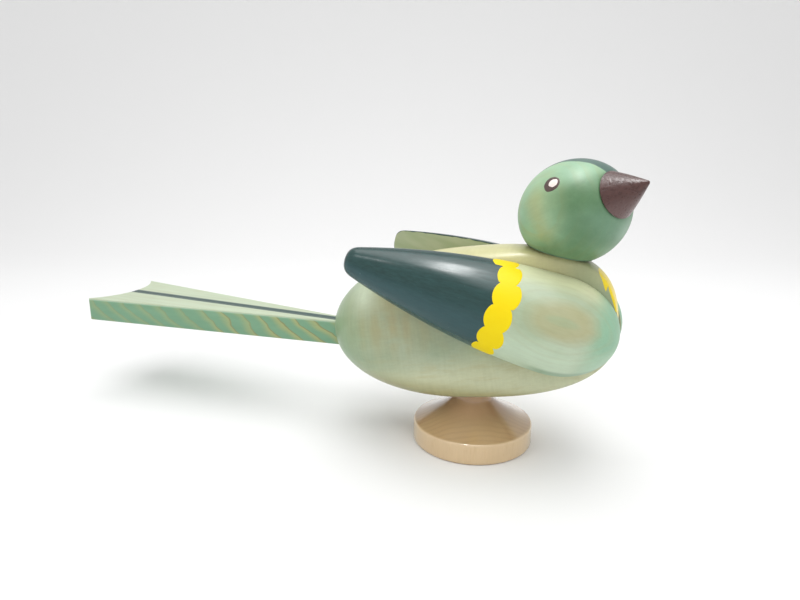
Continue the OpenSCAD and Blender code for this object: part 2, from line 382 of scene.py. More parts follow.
def make_body_tree():
    desk, size = shape_tree("planed egg", {
        "Half Length": BODY_A, "Radius": BODY_C, "Breast Power": BREAST_FULLNESS,
        "Rump Power": RUMP_FULLNESS, "Flat Depth": 0.0, "Edge Power": 12.0, "Rows": 129,
        "Columns": 193})
    grid, u, v = unit_grid(desk, size["Rows"], size["Columns"])
    lean = (u - 0.5) * math.pi
    sine, cosine = lean.sum("SINE"), desk.most(lean.sum("COSINE"), 0)
    front = sine.sum("GREATER_THAN", 0)
    power = size["Breast Power"] * front + size["Rump Power"] * (1 - front)
    along = size["Half Length"] * sine.sum("SIGN") * abs(sine) ** (2 / power)
    round_r = size["Radius"] * cosine ** (2 / power) + POLE_R
    down, side = (v * TURN).sum("COSINE"), (v * TURN).sum("SINE")
    normal, reach = flank_plane(BODY_SPACE)
    slope = desk.most(normal[0] * down + normal[1] * abs(side), LEAST)
    flat_r = desk.most(reach - size["Flat Depth"] - normal[2] * along, LEAST) / slope
    radius = soft_least(round_r, flat_r, size["Edge Power"])
    placed = desk.vector(radius * down, radius * side, along)
    return close_tree(desk, bent(desk, grid, placed, WELD), size["Finish"])


BODY_TREE = make_body_tree()
print("body tree:", len(BODY_TREE.nodes), "nodes")

# %% [markdown]
# ## A wing is half a spindle
# Two wings come from one long spindle: it is turned with a brown paper joint in the middle, then
# split into two halves with flat inner faces. The nose is a quarter of an ellipse and the long
# side narrows by a power curve to a blunt end. Each section is drawn with rays from a point inside
# the half circle, so that the arc and the flat close in one loop with a softened edge.

# %% Tree of a wing
WING_NOSE = WING_LENGTH * WING_NOSE_SHARE
WING_REAR = WING_LENGTH - WING_NOSE
WING_END = WING_END_SHARE * WING_R / WING_REAR
RAY_START, WING_EDGE, END_SQUARENESS = 0.42, 56.0, 3.2


def wing_radius(desk, along):
    """Radius of the spindle at a place along its axis, in mm from its widest section."""
    ahead = along.sum("GREATER_THAN", 0)
    nose = desk.most(1 - (along / WING_NOSE) ** 2.0, 0) ** 0.5
    back = desk.least(desk.most(-along / WING_REAR, 0), 1)
    narrowing = 1 - (1 - WING_END_SHARE) * back ** WING_TAPER_POWER
    into_end = desk.most((back - (1 - WING_END)) / WING_END, 0)
    side = narrowing * desk.most(1 - into_end ** END_SQUARENESS, 0) ** (1 / END_SQUARENESS)
    return (nose * ahead + side * (1 - ahead)) * WING_R


def wing_skin(desk, along, turn, power, lift=0):
    """A point of the wing's surface, from its place along the axis and the turn of its ray."""
    radius = wing_radius(desk, along) + POLE_R
    out, up = turn.sum("COSINE"), turn.sum("SINE")
    start = RAY_START * radius
    arc_r = (radius * radius - start * start * up * up) ** 0.5 - start * out
    flat_r = start / desk.most(-out, LEAST)
    reach = soft_least(arc_r, flat_r, power) + lift
    return desk.vector(along, start + reach * out, reach * up)


def make_wing_tree():
    desk, size = shape_tree("split spindle", {"Edge Power": WING_EDGE, "Rows": 161, "Columns": 129})
    grid, u, v = unit_grid(desk, size["Rows"], size["Columns"])
    along = WING_NOSE - (1 - (u * math.pi).sum("COSINE")) / 2 * WING_LENGTH
    placed = wing_skin(desk, along, v * TURN, size["Edge Power"])
    return close_tree(desk, bent(desk, grid, placed, WELD), size["Finish"])


WING_TREE = make_wing_tree()
print("wing tree:", len(WING_TREE.nodes), "nodes")

# %% [markdown]
# ## A row of dabs
# The yellow edge of the dark paint is a row of round dabs that run into each other, put on with a
# brush across the wing. The dabs repeat along the wing's section, so their common outline is a
# rule: at each place the band reaches as far as the nearest dab's circle. The band is thick paint,
# so it is a thin closed strip that follows the wing's surface and wraps over its edge.

# %% Tree of the dabs
DAB_ALONG = -17.2
DAB_SHIFTS = ((-3, -1.2), (-2, -0.8), (-1, 0.1), (0, 0.3), (1, 0.8), (2, 0.0), (3, -1.9))
DAB_SIZES = ((-3, 0.9), (-2, 0.9), (-1, 1.0), (0, 1.0), (1, 1.03), (2, 0.88), (3, 1.0))
DAB_RAY_CLOSE, DAB_RAY_END = math.radians(106), math.radians(116)
STRIP_SQUARENESS = 0.4


def make_dab_tree():
    desk, size = shape_tree("row of dabs", {
        "Middle": DAB_ALONG, "Radius": 4.8, "Squash": 0.82, "Spacing": 7.0, "Thickness": 0.12,
        "Rows": 385, "Columns": 25})
    grid, u, v = unit_grid(desk, size["Rows"], size["Columns"])
    ray = (u - 0.5) * 2 * DAB_RAY_END
    girth = wing_radius(desk, size["Middle"])
    reach = soft_least((girth * girth * (1 - (RAY_START * ray.sum("SINE")) ** 2.0)) ** 0.5
                       - RAY_START * girth * ray.sum("COSINE"),
                       RAY_START * girth / desk.most(-ray.sum("COSINE"), LEAST), WING_EDGE)
    across_wing = (reach * ray.sum("SINE")).sum(
        "ARCTAN2", RAY_START * girth + reach * ray.sum("COSINE")) * girth
    number = (across_wing / size["Spacing"]).sum("ROUND")
    from_dab = across_wing - number * size["Spacing"]
    shift = curve(desk, number, DAB_SHIFTS)
    half = (desk.most(size["Radius"] ** 2.0 - from_dab * from_dab, LEAST) ** 0.5
            * size["Squash"] * curve(desk, number, DAB_SIZES))
    closing = desk.most(1 - desk.most((abs(ray) - DAB_RAY_CLOSE) / (DAB_RAY_END - DAB_RAY_CLOSE), 0)
                        ** 2.0, 0) ** 0.5
    turn = v * TURN
    sine = turn.sum("SINE")
    height = size["Thickness"] * (sine.sum("SIGN") * abs(sine) ** STRIP_SQUARENESS) * closing
    along = size["Middle"] + shift + half * closing * turn.sum("COSINE")
    placed = wing_skin(desk, along, ray, WING_EDGE, height)
    return close_tree(desk, bent(desk, grid, placed, WELD / 10), size["Finish"])


DAB_TREE = make_dab_tree()
print("dab tree:", len(DAB_TREE.nodes), "nodes")

# %% [markdown]
# ## The head, an egg with two flats
# The head is a smaller egg. A cut underneath lets it sit on the back, and a small flat in front
# takes the beak. Rays from its centre meet the egg and the two planes.

# %% Tree of the head
def make_head_tree():
    desk, size = shape_tree("flatted egg", {
        "Half Length": HEAD_A, "Radius": HEAD_R, "Edge Power": 140.0, "Rows": 161, "Columns": 193})
    grid, u, v = unit_grid(desk, size["Rows"], size["Columns"])
    polar, around = u * math.pi, v * TURN
    x = polar.sum("SINE") * around.sum("COSINE")
    y = polar.sum("SINE") * around.sum("SINE")
    z = polar.sum("COSINE")
    egg_r = ((x * x + y * y) / size["Radius"] ** 2.0 + z * z / size["Half Length"] ** 2.0) ** -0.5
    down = HEAD_SPACE.to_3x3().inverted() @ Vector(-SEAT_AXIS)
    seat_r = (HEAD_RISE - HEAD_GAP) / desk.most(down[0] * x + down[1] * y + down[2] * z, LEAST)
    beak_r = BEAK_BASE / desk.most(z, LEAST)
    reach = soft_least(soft_least(egg_r, seat_r, size["Edge Power"]), beak_r, size["Edge Power"])
    placed = desk.vector(reach * x, reach * y, reach * z)
    return close_tree(desk, bent(desk, grid, placed, WELD), size["Finish"])


HEAD_TREE = make_head_tree()
print("head tree:", len(HEAD_TREE.nodes), "nodes")

# %% [markdown]
# ## A dab of paint on the egg
# An eye is two round dabs, a dark one and a small pale one on top of it. A dab is a thin lens that
# is drawn flat, with an uneven rim, and then pressed onto the egg: each of its points is moved
# towards the egg's middle until it lies on the surface, and then lifted by the paint's thickness.

# %% Tree of a dab
def make_eye_tree():
    desk, size = shape_tree("dab on an egg", {
        "Down": 0.0, "Side": 0.0, "Forward": 0.0, "Radius": 2.4, "Stretch": 1.0, "Unevenness": 0.1,
        "Seed": 0.0, "Thickness": 0.15, "Rows": 33, "Columns": 65})
    grid, u, v = unit_grid(desk, size["Rows"], size["Columns"])
    turn = v * TURN
    rim = desk.add("ShaderNodeTexNoise", {"noise_dimensions": "4D"},
                   {"Vector": desk.vector(turn.sum("COSINE"), turn.sum("SINE"), 0),
                    "W": size["Seed"], "Scale": 1.4, "Detail": 1.0})
    length = desk.sum("SQRT", size["Down"] ** 2.0 + size["Side"] * size["Side"])
    lens = u * math.pi
    reach = size["Radius"] * lens.sum("SINE") * (1 + size["Unevenness"] * (rim - 0.5) * 2)
    level = size["Thickness"] * lens.sum("COSINE")
    forward = size["Forward"] + reach * turn.sum("COSINE") * size["Stretch"]
    sideways = reach * turn.sum("SINE") / length
    x = size["Down"] - sideways * size["Side"]
    y = size["Side"] + sideways * size["Down"]
    onto = ((x * x + y * y) / HEAD_R ** 2 + forward * forward / HEAD_A ** 2) ** -0.5
    lifted = onto + level / HEAD_R
    placed = desk.vector(x * lifted, y * lifted, forward * lifted)
    return close_tree(desk, bent(desk, grid, placed, WELD / 10), size["Finish"])


EYE_TREE = make_eye_tree()
print("eye tree:", len(EYE_TREE.nodes), "nodes")

# %% [markdown]
# ## Finishes
# The bird is limewood under thin stain, so the growth rings and the fibres show through, and its
# dark, yellow and red parts are opaque paint. A finish belongs to a piece's own axis, so each
# material first turns Object coordinates into that piece's millimetres. All the rest is sums on
# those numbers: rings, fibres, patches and painted edges.

# %% Start and end of a finish
def tone(red, green, blue):
    return (red, green, blue, 1)


def start_finish(name, space):
    """A new material, its desk, and wires for a piece's own x, y and z in millimetres."""
    material = bpy.data.materials.new(name)
    material.use_nodes = True
    material.node_tree.nodes.clear()
    desk = Desk(material.node_tree)
    spot = desk.add("ShaderNodeTexCoord", out="Object")
    inward = space.inverted()
    own = [desk.add("ShaderNodeVectorMath", {"operation": "DOT_PRODUCT"},
                    {0: spot, 1: Vector(inward[row][:3]) / MM}, out="Value") + inward[row][3]
           for row in range(3)]
    return material, desk, own


def end_finish(material, desk, colour, roughness, height, **fixed):
    """Wires the shader. height is a bump in mm, and fixed values go on the shader's own sockets."""
    bump = desk.add("ShaderNodeBump", None, {"Height": height, "Distance": MM, "Strength": 1.0},
                    out="Normal")
    sockets = {"Base Color": colour, "Roughness": roughness, "Normal": bump}
    sockets.update({name.replace("_", " "): value for name, value in fixed.items()})
    shader = desk.add("ShaderNodeBsdfPrincipled", None, sockets)
    surface = desk.tree.nodes.new("ShaderNodeOutputMaterial")
    desk.tree.links.new(shader.socket, surface.inputs["Surface"])
    print(material.name, "has", len(desk.tree.nodes), "nodes")
    return material


def shaded(desk, colour, light):
    """The colour, lighter where light is over 1 and darker where it is under 1."""
    return desk.mix(1.0, colour, desk.vector(light, light, light), "MULTIPLY")


print("each finish prints how many nodes its sums have made")

# %% [markdown]
# ## What wood and brushes leave behind
# Four patterns come back in every finish. Noise is stretched along the grain or the brush. Growth
# rings are a saw tooth of the distance from the tree's heart, and the heart lies outside such a
# small piece. Fibres are two very thin noises. A soft round patch says where a cloud of stain is.

# %% Noise, rings, fibres and patches
RING_WOBBLE, EULER = 3.0, 2.718
FIBRE, FINE_FIBRE = (9, 0.55, 0.55), (3.2, 0.22, 0.22)


def noise(desk, own, sizes, seed=0.0, detail=2.0, rough=0.5, swirl=0.0):
    """Noise from 0 to 1 whose blots are about sizes (mm) long on each of the piece's own axes."""
    stretched = desk.vector(*[wire / size for wire, size in zip(own, sizes)])
    return desk.add("ShaderNodeTexNoise", {"noise_dimensions": "4D"},
                    {"Vector": stretched, "W": seed, "Scale": 1.0, "Detail": detail,
                     "Roughness": rough, "Distortion": swirl})


def rings(desk, own, heart, spacing, seed):
    """Growth rings around a heart line parallel to x: 0 in early wood, 1 at a ring's dark edge."""
    y, z = own[1] - heart[0], own[2] - heart[1]
    bent_way = noise(desk, own, (45, 9, 9), seed, 3.0) - 0.5
    number = (desk.sum("SQRT", y * y + z * z) + bent_way * RING_WOBBLE) / spacing
    part = number - number.sum("FLOOR")
    return desk.between(part, 0.25, 0.9) * desk.between(part, 1.0, 0.9)


def fibres(desk, own, seed):
    """Fine streaks along the grain, around 0."""
    coarse = noise(desk, own, FIBRE, seed, 3.0, 0.6) - 0.5
    fine = noise(desk, own, FINE_FIBRE, seed + 3.1, 2.0, 0.6) - 0.5
    return coarse * 0.6 + fine * 0.6


def mottling(desk, own, seed):
    """Small blots of stain, around 0."""
    return noise(desk, own, (3.5, 1.8, 1.8), seed, 3.0, 0.6) - 0.5


def patch(*terms):
    """A soft patch: 1 in its middle. Each term is a wire, its middle and its half width."""
    far = 0
    for wire, middle, half in terms:
        far = far + ((wire - middle) / half) * ((wire - middle) / half)
    return EULER ** (far * -1)


print("a fibre is", FIBRE[0], "mm long and", FIBRE[1], "mm wide")

# %% [markdown]
# ### Stained limewood
# Thin water stain soaks in unevenly. It is deeper green in the soft early wood and browner on the
# hard edges of the rings, with large milky and mossy clouds. One function makes every stained
# piece: it is given the stain's two tones, the warm tone of the wood and the places of its patches.

# %% Stained wood
STAIN_GLOSS = 0.42
FIBRE_RELIEF, MOTTLE_RELIEF, RING_RELIEF = 0.012, 0.01, 0.006


def stained(name, space, tones, heart=(60, 8), spacing=3.1, seed=0.0, paint=None,
            gloss=STAIN_GLOSS, ring_depth=0.3, varnish=0.5):
    """Stained wood whose grain runs along the piece's own x. paint adds a piece's own patches."""
    material, desk, own = start_finish(name, space)
    cool, pale, warm = tones
    clouds = desk.between(noise(desk, own, (26, 12, 12), seed + 1.7, 3.0, 0.55, 0.4), 0.3, 0.7)
    colour = desk.mix(clouds, cool, pale)
    edge = rings(desk, own, heart, spacing, seed)
    drift = noise(desk, own, (30, 14, 14), seed + 9.2, 2.0)
    warmth = edge * ring_depth + desk.between(drift, 0.5, 0.75) * 0.45
    colour = desk.mix(warmth, colour, warm)
    streak = fibres(desk, own, seed)
    mottle = mottling(desk, own, seed + 5.5)
    light = 1 + streak * 0.22 + mottle * 0.16
    roughness = gloss + streak * 0.12 + mottle * 0.1
    height = streak * FIBRE_RELIEF + mottle * MOTTLE_RELIEF - edge * RING_RELIEF
    if paint:
        colour, roughness, height = paint(desk, own, colour, roughness, height, seed)
    return end_finish(material, desk, shaded(desk, colour, light), roughness, height, IOR=1.45,
                      Coat_Weight=varnish, Coat_Roughness=0.25)


print("the stained fibres stand", FIBRE_RELIEF, "mm high at most")

# %% [markdown]
# ### The body's clouds of stain
# The body is milky sage, with a warm top between the wings and mossy patches on the rump and the
# belly. Each cloud is a mask, a strength and a tone, laid over the clouds before it. Brown bands
# cross the flank where the turning cuts the growth rings again and again. Some clouds are painted
# light and shade: the belly is painted paler, for light bounced up from the floor; the keel and the
# place under the head are painted darker, for shade; and a pale patch high on the rump is a
# painted sheen.

# %% Clouds of stain on the body
BODY_OWN = Matrix.Translation(BODY_PLACE) @ turned(y=-BODY_PITCH)
BODY_TONES = (tone(0.235, 0.31, 0.185), tone(0.32, 0.39, 0.262), tone(0.33, 0.308, 0.155))
WARM_BACK, BELLY_PAINTED_LIGHT = tone(0.59, 0.55, 0.265), tone(0.55, 0.57, 0.37)
SHADED_KEEL, LONG_STREAK = tone(0.349, 0.339, 0.165), tone(0.388, 0.349, 0.175)
RING_BROWN, MOSS = tone(0.345, 0.31, 0.15), tone(0.21, 0.335, 0.18)
RUMP_PAINTED_SHEEN, THIN_MILK, SHADE_UNDER_HEAD = tone(0.60, 0.70, 0.53), tone(0.47, 0.56, 0.45), tone(0.262, 0.31, 0.175)
RING_BAND = 5.2


def body_browns(desk, own, seed):
    """Where the turning has met brown growth rings: bands on the flank, a patch on the belly."""
    x, _, z = own
    uneven = noise(desk, own, (8, 5, 5), seed + 7.0, 3.0, 0.6)
    sway = (noise(desk, own, (9, 14, 14), seed + 8.0, 3.0) - 0.5) * 7
    band = desk.between(((x + sway) * (TURN / RING_BAND)).sum("SINE"), -1.0, 1.0)
    flank = patch((x, -22, 19), (z, 4, 11)) * desk.between(uneven, 0.1, 0.55)
    belly = patch((x, 26, 16), (z, -12, 5)) * desk.between(uneven, 0.25, 0.6) * 0.4
    return desk.most(flank * (0.5 + band * 0.32), belly)


def body_clouds(desk, own, colour, seed):
    """Clouds of stain, painted light and painted shade, laid one over the other on the ground colour."""
    x, _, z = own
    along = noise(desk, own, (26, 2.2, 2.2), seed + 12.0, 3.0, 0.6)
    for mask, stain in (
            (desk.between(z, 6, 15) * desk.between(x, -36, -16) * 0.85, WARM_BACK),
            # painted light: the belly is paler, for light bounced up from the floor
            (desk.between(z, -5, -16) * 0.8, BELLY_PAINTED_LIGHT),
            # painted shade: darker along the keel, where the round belly turns away from the light
            (desk.between(z + x * 0.2, -15, -21) * 0.85, SHADED_KEEL),
            (desk.between(along, 0.45, 0.7) * desk.between(z, -3, -10) * 0.35, LONG_STREAK),
            (body_browns(desk, own, seed), RING_BROWN),
            (patch((x, -41, 12), (z, 0, 22)) * 0.8, MOSS),
            # painted sheen: a pale patch high on the rump
            (patch((x, -28, 6), (z, 14, 5)) * 0.65, RUMP_PAINTED_SHEEN),
            (patch((x, -20, 20), (z, -7, 5)) * 0.15, THIN_MILK),
            # painted shade: darker on the back just under the head's overhang
            (patch((x, 40, 7), (z, 13, 9)) * 0.7, SHADE_UNDER_HEAD)):
        colour = desk.mix(mask, colour, stain)
    return colour


print("brown bands on the flank are", RING_BAND, "mm apart")

# %% [markdown]
# ### The yellow bib
# The bib is opaque yellow that ends in pointed tongues. Its edge is a curve: for each distance
# from the middle line, and for each place along the breast, it says how far down the paint comes.
# The higher of the two edges counts. The paint is thicker than the stain, so it stands up a
# little and is smoother, and the faint marks of the turning stop at it.

# %% Bib, and the finish of the body
YELLOW = tone(0.83, 0.625, 0.002)
BIB_SIDE = ((40.0, 30.0), (42.5, 15.6), (43.2, 14.0), (44.0, 12.0), (44.5, 9.0), (44.8, 8.2),
            (45.5, 9.9), (45.8, 7.9), (46.5, 4.6), (47.4, -0.5))
BIB_FRONT = ((0.0, -2.5), (1.4, -0.5), (3.4, 1.8), (4.5, 6.0), (8.0, 9.0))
BIB_EDGE, BIB_RELIEF = 0.15, 0.06


def bib_mask(desk, own, seed):
    """1 where the bib is painted, with a slightly shaky edge."""
    x, y, z = own
    shake = (noise(desk, own, (3, 3, 3), seed + 4.0) - 0.5) * 0.3
    aside = desk.least(abs(y + shake), BIB_FRONT[-1][0])
    ahead = desk.most(x + shake * 0.5, BIB_SIDE[0][0])
    edge = desk.most(curve(desk, ahead, BIB_SIDE), curve(desk, aside, BIB_FRONT))
    return desk.between(z - edge, -BIB_EDGE, BIB_EDGE)


def body_paint(desk, own, colour, roughness, height, seed):
    bib = bib_mask(desk, own, seed)
    colour = desk.mix(bib, body_clouds(desk, own, colour, seed), YELLOW)
    turning = noise(desk, own, (0.8, 9, 9), seed + 13.0, 2.0) - 0.5
    colour = shaded(desk, colour, 1 + turning * 0.16 * (1 - bib))
    return colour, roughness * (1 - 0.2 * bib), height + bib * BIB_RELIEF


MINT = stained("mint_stain", BODY_OWN, BODY_TONES, heart=(60, 4), spacing=2.5, seed=2.0,
               paint=body_paint, ring_depth=0.08, varnish=0.4)

# %% [markdown]
# ### The stained front of a wing
# The front of a wing keeps its mint stain, with an olive upper edge and a paler lower side. The
# olive edge is also lighter, as a painted sheen, and the lowest strip, where the wing turns under,
# is painted darker, as painted shade. The turning grazes a growth ring on the front, and that
# shows as a brown oval with a green heart and faint ripples around it. On a wing, a place is best
# given by its angle around the section.

# %% Stain on a wing
SAGE, PALE_SAGE = tone(0.344, 0.419, 0.27), tone(0.419, 0.493, 0.353)
MINT_NOSE, OLIVE_TOP_AND_SHEEN = tone(0.251, 0.446, 0.298), tone(0.68, 0.70, 0.43)
PALE_LOW, UNDER_EDGE_PAINTED_SHADE = tone(0.493, 0.614, 0.456), tone(0.233, 0.363, 0.242)
OVAL_BROWN, OVAL_HEART = tone(0.391, 0.372, 0.2), tone(0.307, 0.4, 0.242)
RIPPLE = tone(0.353, 0.326, 0.167)
OVAL_X, OVAL_ANGLE, OVAL_HALF_LENGTH, OVAL_HALF_ANGLE = 0.4, 18, 9.5, 21


def angle_degrees(own):
    """Angle around a wing's section: 0 is outermost and 90 is its upper edge."""
    return own[2].sum("ARCTAN2", own[1]) * (180 / math.pi)


def wing_stain(desk, own, angle):
    """The wing's ground colour with its clouds, a painted sheen on the olive upper edge and painted shade along
    the lower edge.
    """
    x = own[0]
    clouds = desk.between(noise(desk, own, (16, 8, 8), 6.1, 3.0), 0.35, 0.65)
    colour = desk.mix(clouds, SAGE, PALE_SAGE)
    # partly painted sheen: the olive upper edge is made lighter than its paint
    colour = desk.mix(desk.between(angle, 42, 70) * 0.8, colour, OLIVE_TOP_AND_SHEEN)
    colour = desk.mix(desk.between(x, 6, 14), colour, MINT_NOSE)
    low = desk.between(angle, 5, -28) * (0.85 - desk.between(x, 5, 10) * 0.45)
    colour = desk.mix(low, colour, PALE_LOW)
    # painted shade: darker where the wing turns under at its lower edge
    painted_shade_under_edge = desk.between(angle, -45.5, -54) * desk.between(x, -8, 1) * 0.85
    return desk.mix(painted_shade_under_edge, colour, UNDER_EDGE_PAINTED_SHADE)


def with_oval(desk, own, angle, colour):
    """The colour with the oval of a grazed growth ring, its green heart and its ripples."""
    wobble = (noise(desk, own, (9, 3, 3), 8.8, 3.0) - 0.5) * 0.9
    x_off = (own[0] - OVAL_X) / OVAL_HALF_LENGTH
    angle_off = (angle - OVAL_ANGLE) / OVAL_HALF_ANGLE
    oval = x_off * x_off + angle_off * angle_off + wobble
    heart = x_off * x_off * 4 + angle_off * angle_off * 16 + wobble
    colour = desk.mix(desk.between(oval, 1.6, 0.4) * (0.72 + 0.1 * x_off), colour, OVAL_BROWN)
    colour = desk.mix(desk.between(heart, 1.5, 0.2) * 0.55, colour, OVAL_HEART)
    ripple = ((oval + 0.3) ** 0.5 * 16).sum("SINE") * desk.between(oval, 9, 1)
    return desk.mix(desk.most(ripple, 0) * 0.14, colour, RIPPLE)


print("the brown oval is", 2 * OVAL_HALF_LENGTH, "mm long")

# %% [markdown]
# ### The dark rear of a wing
# Behind the row of yellow dabs the wing has opaque blue-green paint, smoother than the stain and
# streaked by the brush. The paint wraps a little way over the edge of the flat inner face, which
# has only an olive wash. One number, painted, leads over from the wood to the paint in the
# colour, the roughness and the bump.

# %% Finish of a wing
DARK_PAINT, DARK_STREAK = tone(0.006, 0.034, 0.031), tone(0.013, 0.055, 0.053)
DARK_LOW = tone(0.024, 0.085, 0.10)
OLIVE_WASH, PALE_WASH = tone(0.316, 0.372, 0.214), tone(0.4, 0.437, 0.279)
PAINT_GLOSS, PAINT_THICKNESS = 0.23, 0.05


def paint_mask(desk, own, inner):
    """1 where the dark paint lies: behind the dabs, and just over the edge of the inner face."""
    x, _, z = own
    uneven = (noise(desk, own, (5, 1, 1), 1.1) - 0.5) * 0.9
    from_edge = wing_radius(desk, x) - abs(z) + uneven
    over_edge = 1 - inner * desk.between(from_edge, 0.2, 0.45)
    return desk.between(x, DAB_ALONG + 0.1, DAB_ALONG - 0.1) * over_edge


def wing_finish(name, space):
    material, desk, own = start_finish(name, space)
    angle = angle_degrees(own)
    streak, mottle = fibres(desk, own, 3.3), mottling(desk, own, 5.9)
    brush = noise(desk, own, (11, 0.7, 0.7), 4.4, 3.0, 0.65) - 0.5
    grit = noise(desk, own, (1.6, 0.9, 0.9), 9.4, 3.0, 0.7) - 0.5
    colour = with_oval(desk, own, angle, wing_stain(desk, own, angle))
    colour = shaded(desk, colour, 1 + streak * 0.2 + mottle * 0.16)
    wash = desk.between(noise(desk, own, (22, 5, 5), 2.2, 3.0), 0.35, 0.65)
    inner = desk.between(own[1], 0.35, 0.1)
    colour = desk.mix(inner, colour, desk.mix(wash, OLIVE_WASH, PALE_WASH))
    painted = paint_mask(desk, own, inner)
    dark = desk.mix(desk.between(brush, -0.3, 0.3), DARK_PAINT, DARK_STREAK)
    dark = desk.mix(desk.between(angle, 14, -22) * 0.5, dark, DARK_LOW)
    colour = desk.mix(painted, colour, dark)
    wood_rough = STAIN_GLOSS + streak * 0.12
    paint_rough = PAINT_GLOSS + brush * 0.14 + grit * 0.14
    roughness = wood_rough * (1 - painted) + paint_rough * painted
    wood_height = streak * FIBRE_RELIEF + mottle * MOTTLE_RELIEF
    paint_height = PAINT_THICKNESS + brush * 0.006 + grit * 0.009
    height = wood_height * (1 - painted) + paint_height * painted
    return end_finish(material, desk, colour, roughness, height, IOR=1.47)


RIGHT_WING_SPACE = MIRROR @ LEFT_WING_SPACE
WING_FINISH = {"left": wing_finish("left_wing_paint", LEFT_WING_SPACE),
               "right": wing_finish("right_wing_paint", RIGHT_WING_SPACE)}

# %% [markdown]
# ### Thick paints: yellow dabs, red-brown beak and eyes
# These paints cover the wood and are laid on in short strokes. Where a stroke is thicker it is
# also paler and rougher, so one noise drives the colour, the roughness and the bump. The noise
# is stretched along the piece's own axes, in the direction of the brush.

# %% Thick paints
HEAD_OWN = Matrix.Translation(HEAD_CENTRE) @ turned(z=-HEAD_TURN) @ turned(y=-BEAK_RAISE)


def thick_paint(name, space, main, thin, lay, gloss, depth, seed, below=None, density=1.5):
    """Opaque paint with brush marks. lay is a mark's length on each of the piece's own axes,
    depth is its height, and below is a tone that takes over towards the underside."""
    material, desk, own = start_finish(name, space)
    marks = noise(desk, own, lay, seed, 3.0, 0.6) - 0.5
    blots = noise(desk, own, (4, 4, 4), seed + 2, 2.0) - 0.5
    colour = desk.mix(desk.between(marks + blots * 0.5, -0.3, 0.35), main, thin)
    if below:
        colour = desk.mix(desk.between(own[2] + blots * 2, -1.5, -5) * 0.8, colour, below)
    return end_finish(material, desk, colour, gloss + marks * 0.2, marks * depth, IOR=density)


YELLOW_PAINT = {side: thick_paint(side + "_yellow_paint", space, YELLOW, tone(0.84, 0.65, 0.005),
                                  (2.5, 1.0, 1.0), 0.48, 0.03, 1.0, density=1.25)
                for side, space in (("left", LEFT_WING_SPACE), ("right", RIGHT_WING_SPACE))}
BEAK_PAINT = thick_paint("red_brown_paint", HEAD_OWN, tone(0.052, 0.018, 0.015),
                         tone(0.088, 0.036, 0.030), (1.6, 0.8, 0.8), 0.29, 0.14, 5.0,
                         below=tone(0.125, 0.070, 0.065))
EYE_PAINT = thick_paint("dark_brown_paint", HEAD_OWN, tone(0.060, 0.036, 0.030),
                        tone(0.095, 0.057, 0.050), (1, 1, 1), 0.35, 0.02, 6.0)
PALE_PAINT = thick_paint("pale_paint", HEAD_OWN, tone(0.88, 0.80, 0.76), tone(0.80, 0.66, 0.60),
                         (1, 1, 1), 0.35, 0.02, 7.0)

# %% [markdown]
# ### The head's clouds of stain
# The head is a stronger green than the body, and blotchy. It is turned from one piece, so a warm
# band of brown wood runs around behind each cheek, and the stain gathers to a deep green in front
# of it. Towards the underside it is darker. Each cloud is again a mask, a strength and a tone. The
# top is painted paler, partly as a painted sheen, and a dark line of painted shade runs along the
# edge of the cut under the head.

# %% Clouds of stain on the head
HEAD_TONES = (tone(0.21, 0.40, 0.225), tone(0.28, 0.475, 0.295), tone(0.33, 0.36, 0.16))
WARM_BAND, DEEP_GREEN = tone(0.355, 0.403, 0.192), tone(0.084, 0.182, 0.077)
BLUE_CHIN, PALE_TOP_AND_SHEEN = tone(0.149, 0.278, 0.192), tone(0.38, 0.55, 0.40)
DARK_CHEEK, PALE_THROAT = tone(0.065, 0.16, 0.06), tone(0.29, 0.42, 0.32)
BROW, SEAT_RIM_SHADE = tone(0.18, 0.33, 0.20), tone(0.05, 0.12, 0.10)


def head_deep(desk, own, uneven):
    """Deep green in front of the cheeks, and darker towards the underside, in blotches."""
    x, _, z = own
    front = desk.between(x + (uneven - 0.5) * 8, 1, 11) * desk.between(z, 10, 3)
    # darker towards the underside
    under = desk.between(z, -4, -11) * 0.85
    blotches = 0.86 + (0.5 - uneven) * 1.1
    return desk.most(front, under) * blotches


def seat_rim_shade(desk, own):
    """A dark line along the edge of the cut under the head: painted shade of the joint."""
    down = HEAD_OWN.to_3x3().inverted() @ Vector(-SEAT_AXIS)
    below = own[0] * down[0] + own[1] * down[1] + own[2] * down[2]
    cut = HEAD_RISE - HEAD_GAP
    return desk.between(below, cut - 0.9, cut - 0.3)


def head_clouds(desk, own, colour, seed):
    x, y, z = own
    side = abs(y)
    uneven = noise(desk, own, (7, 6, 6), seed + 3.0, 3.0, 0.6)
    warm = patch((x, 0, 3.6), (side, 14, 10), (z, -1, 12)) * desk.between(uneven, 0.2, 0.5)
    cheek = patch((x, 13, 4), (side, 10, 6), (z, 0.3, 3.6)) * 0.7
    jaw = patch((x, 8, 5), (side, 10, 6), (z, -8.5, 4)) * 0.5
    for mask, stain in (
            (warm * 0.8, WARM_BAND),
            (head_deep(desk, own, uneven), DEEP_GREEN),
            (patch((x, 14.5, 5), (z, -9, 8)) * 0.6, BLUE_CHIN),
            # paler top of the head: partly its stain, partly a painted sheen
            (desk.between(z, 4, 11) * 0.3, PALE_TOP_AND_SHEEN),
            (desk.most(cheek, jaw), DARK_CHEEK),
            (patch((x, 13.5, 4), (y, 4, 4.5), (z, -9.5, 4)) * 0.65, PALE_THROAT),
            (patch((x, 9.2, 3.8), (z, 10, 4)) * 0.5, BROW),
            # painted shade: a dark line along the edge of the seat's cut
            (seat_rim_shade(desk, own) * 0.75, SEAT_RIM_SHADE)):
        colour = desk.mix(mask, colour, stain)
    return colour


print("the head's own x runs to the beak, from its centre at", HEAD_CENTRE.round(1))

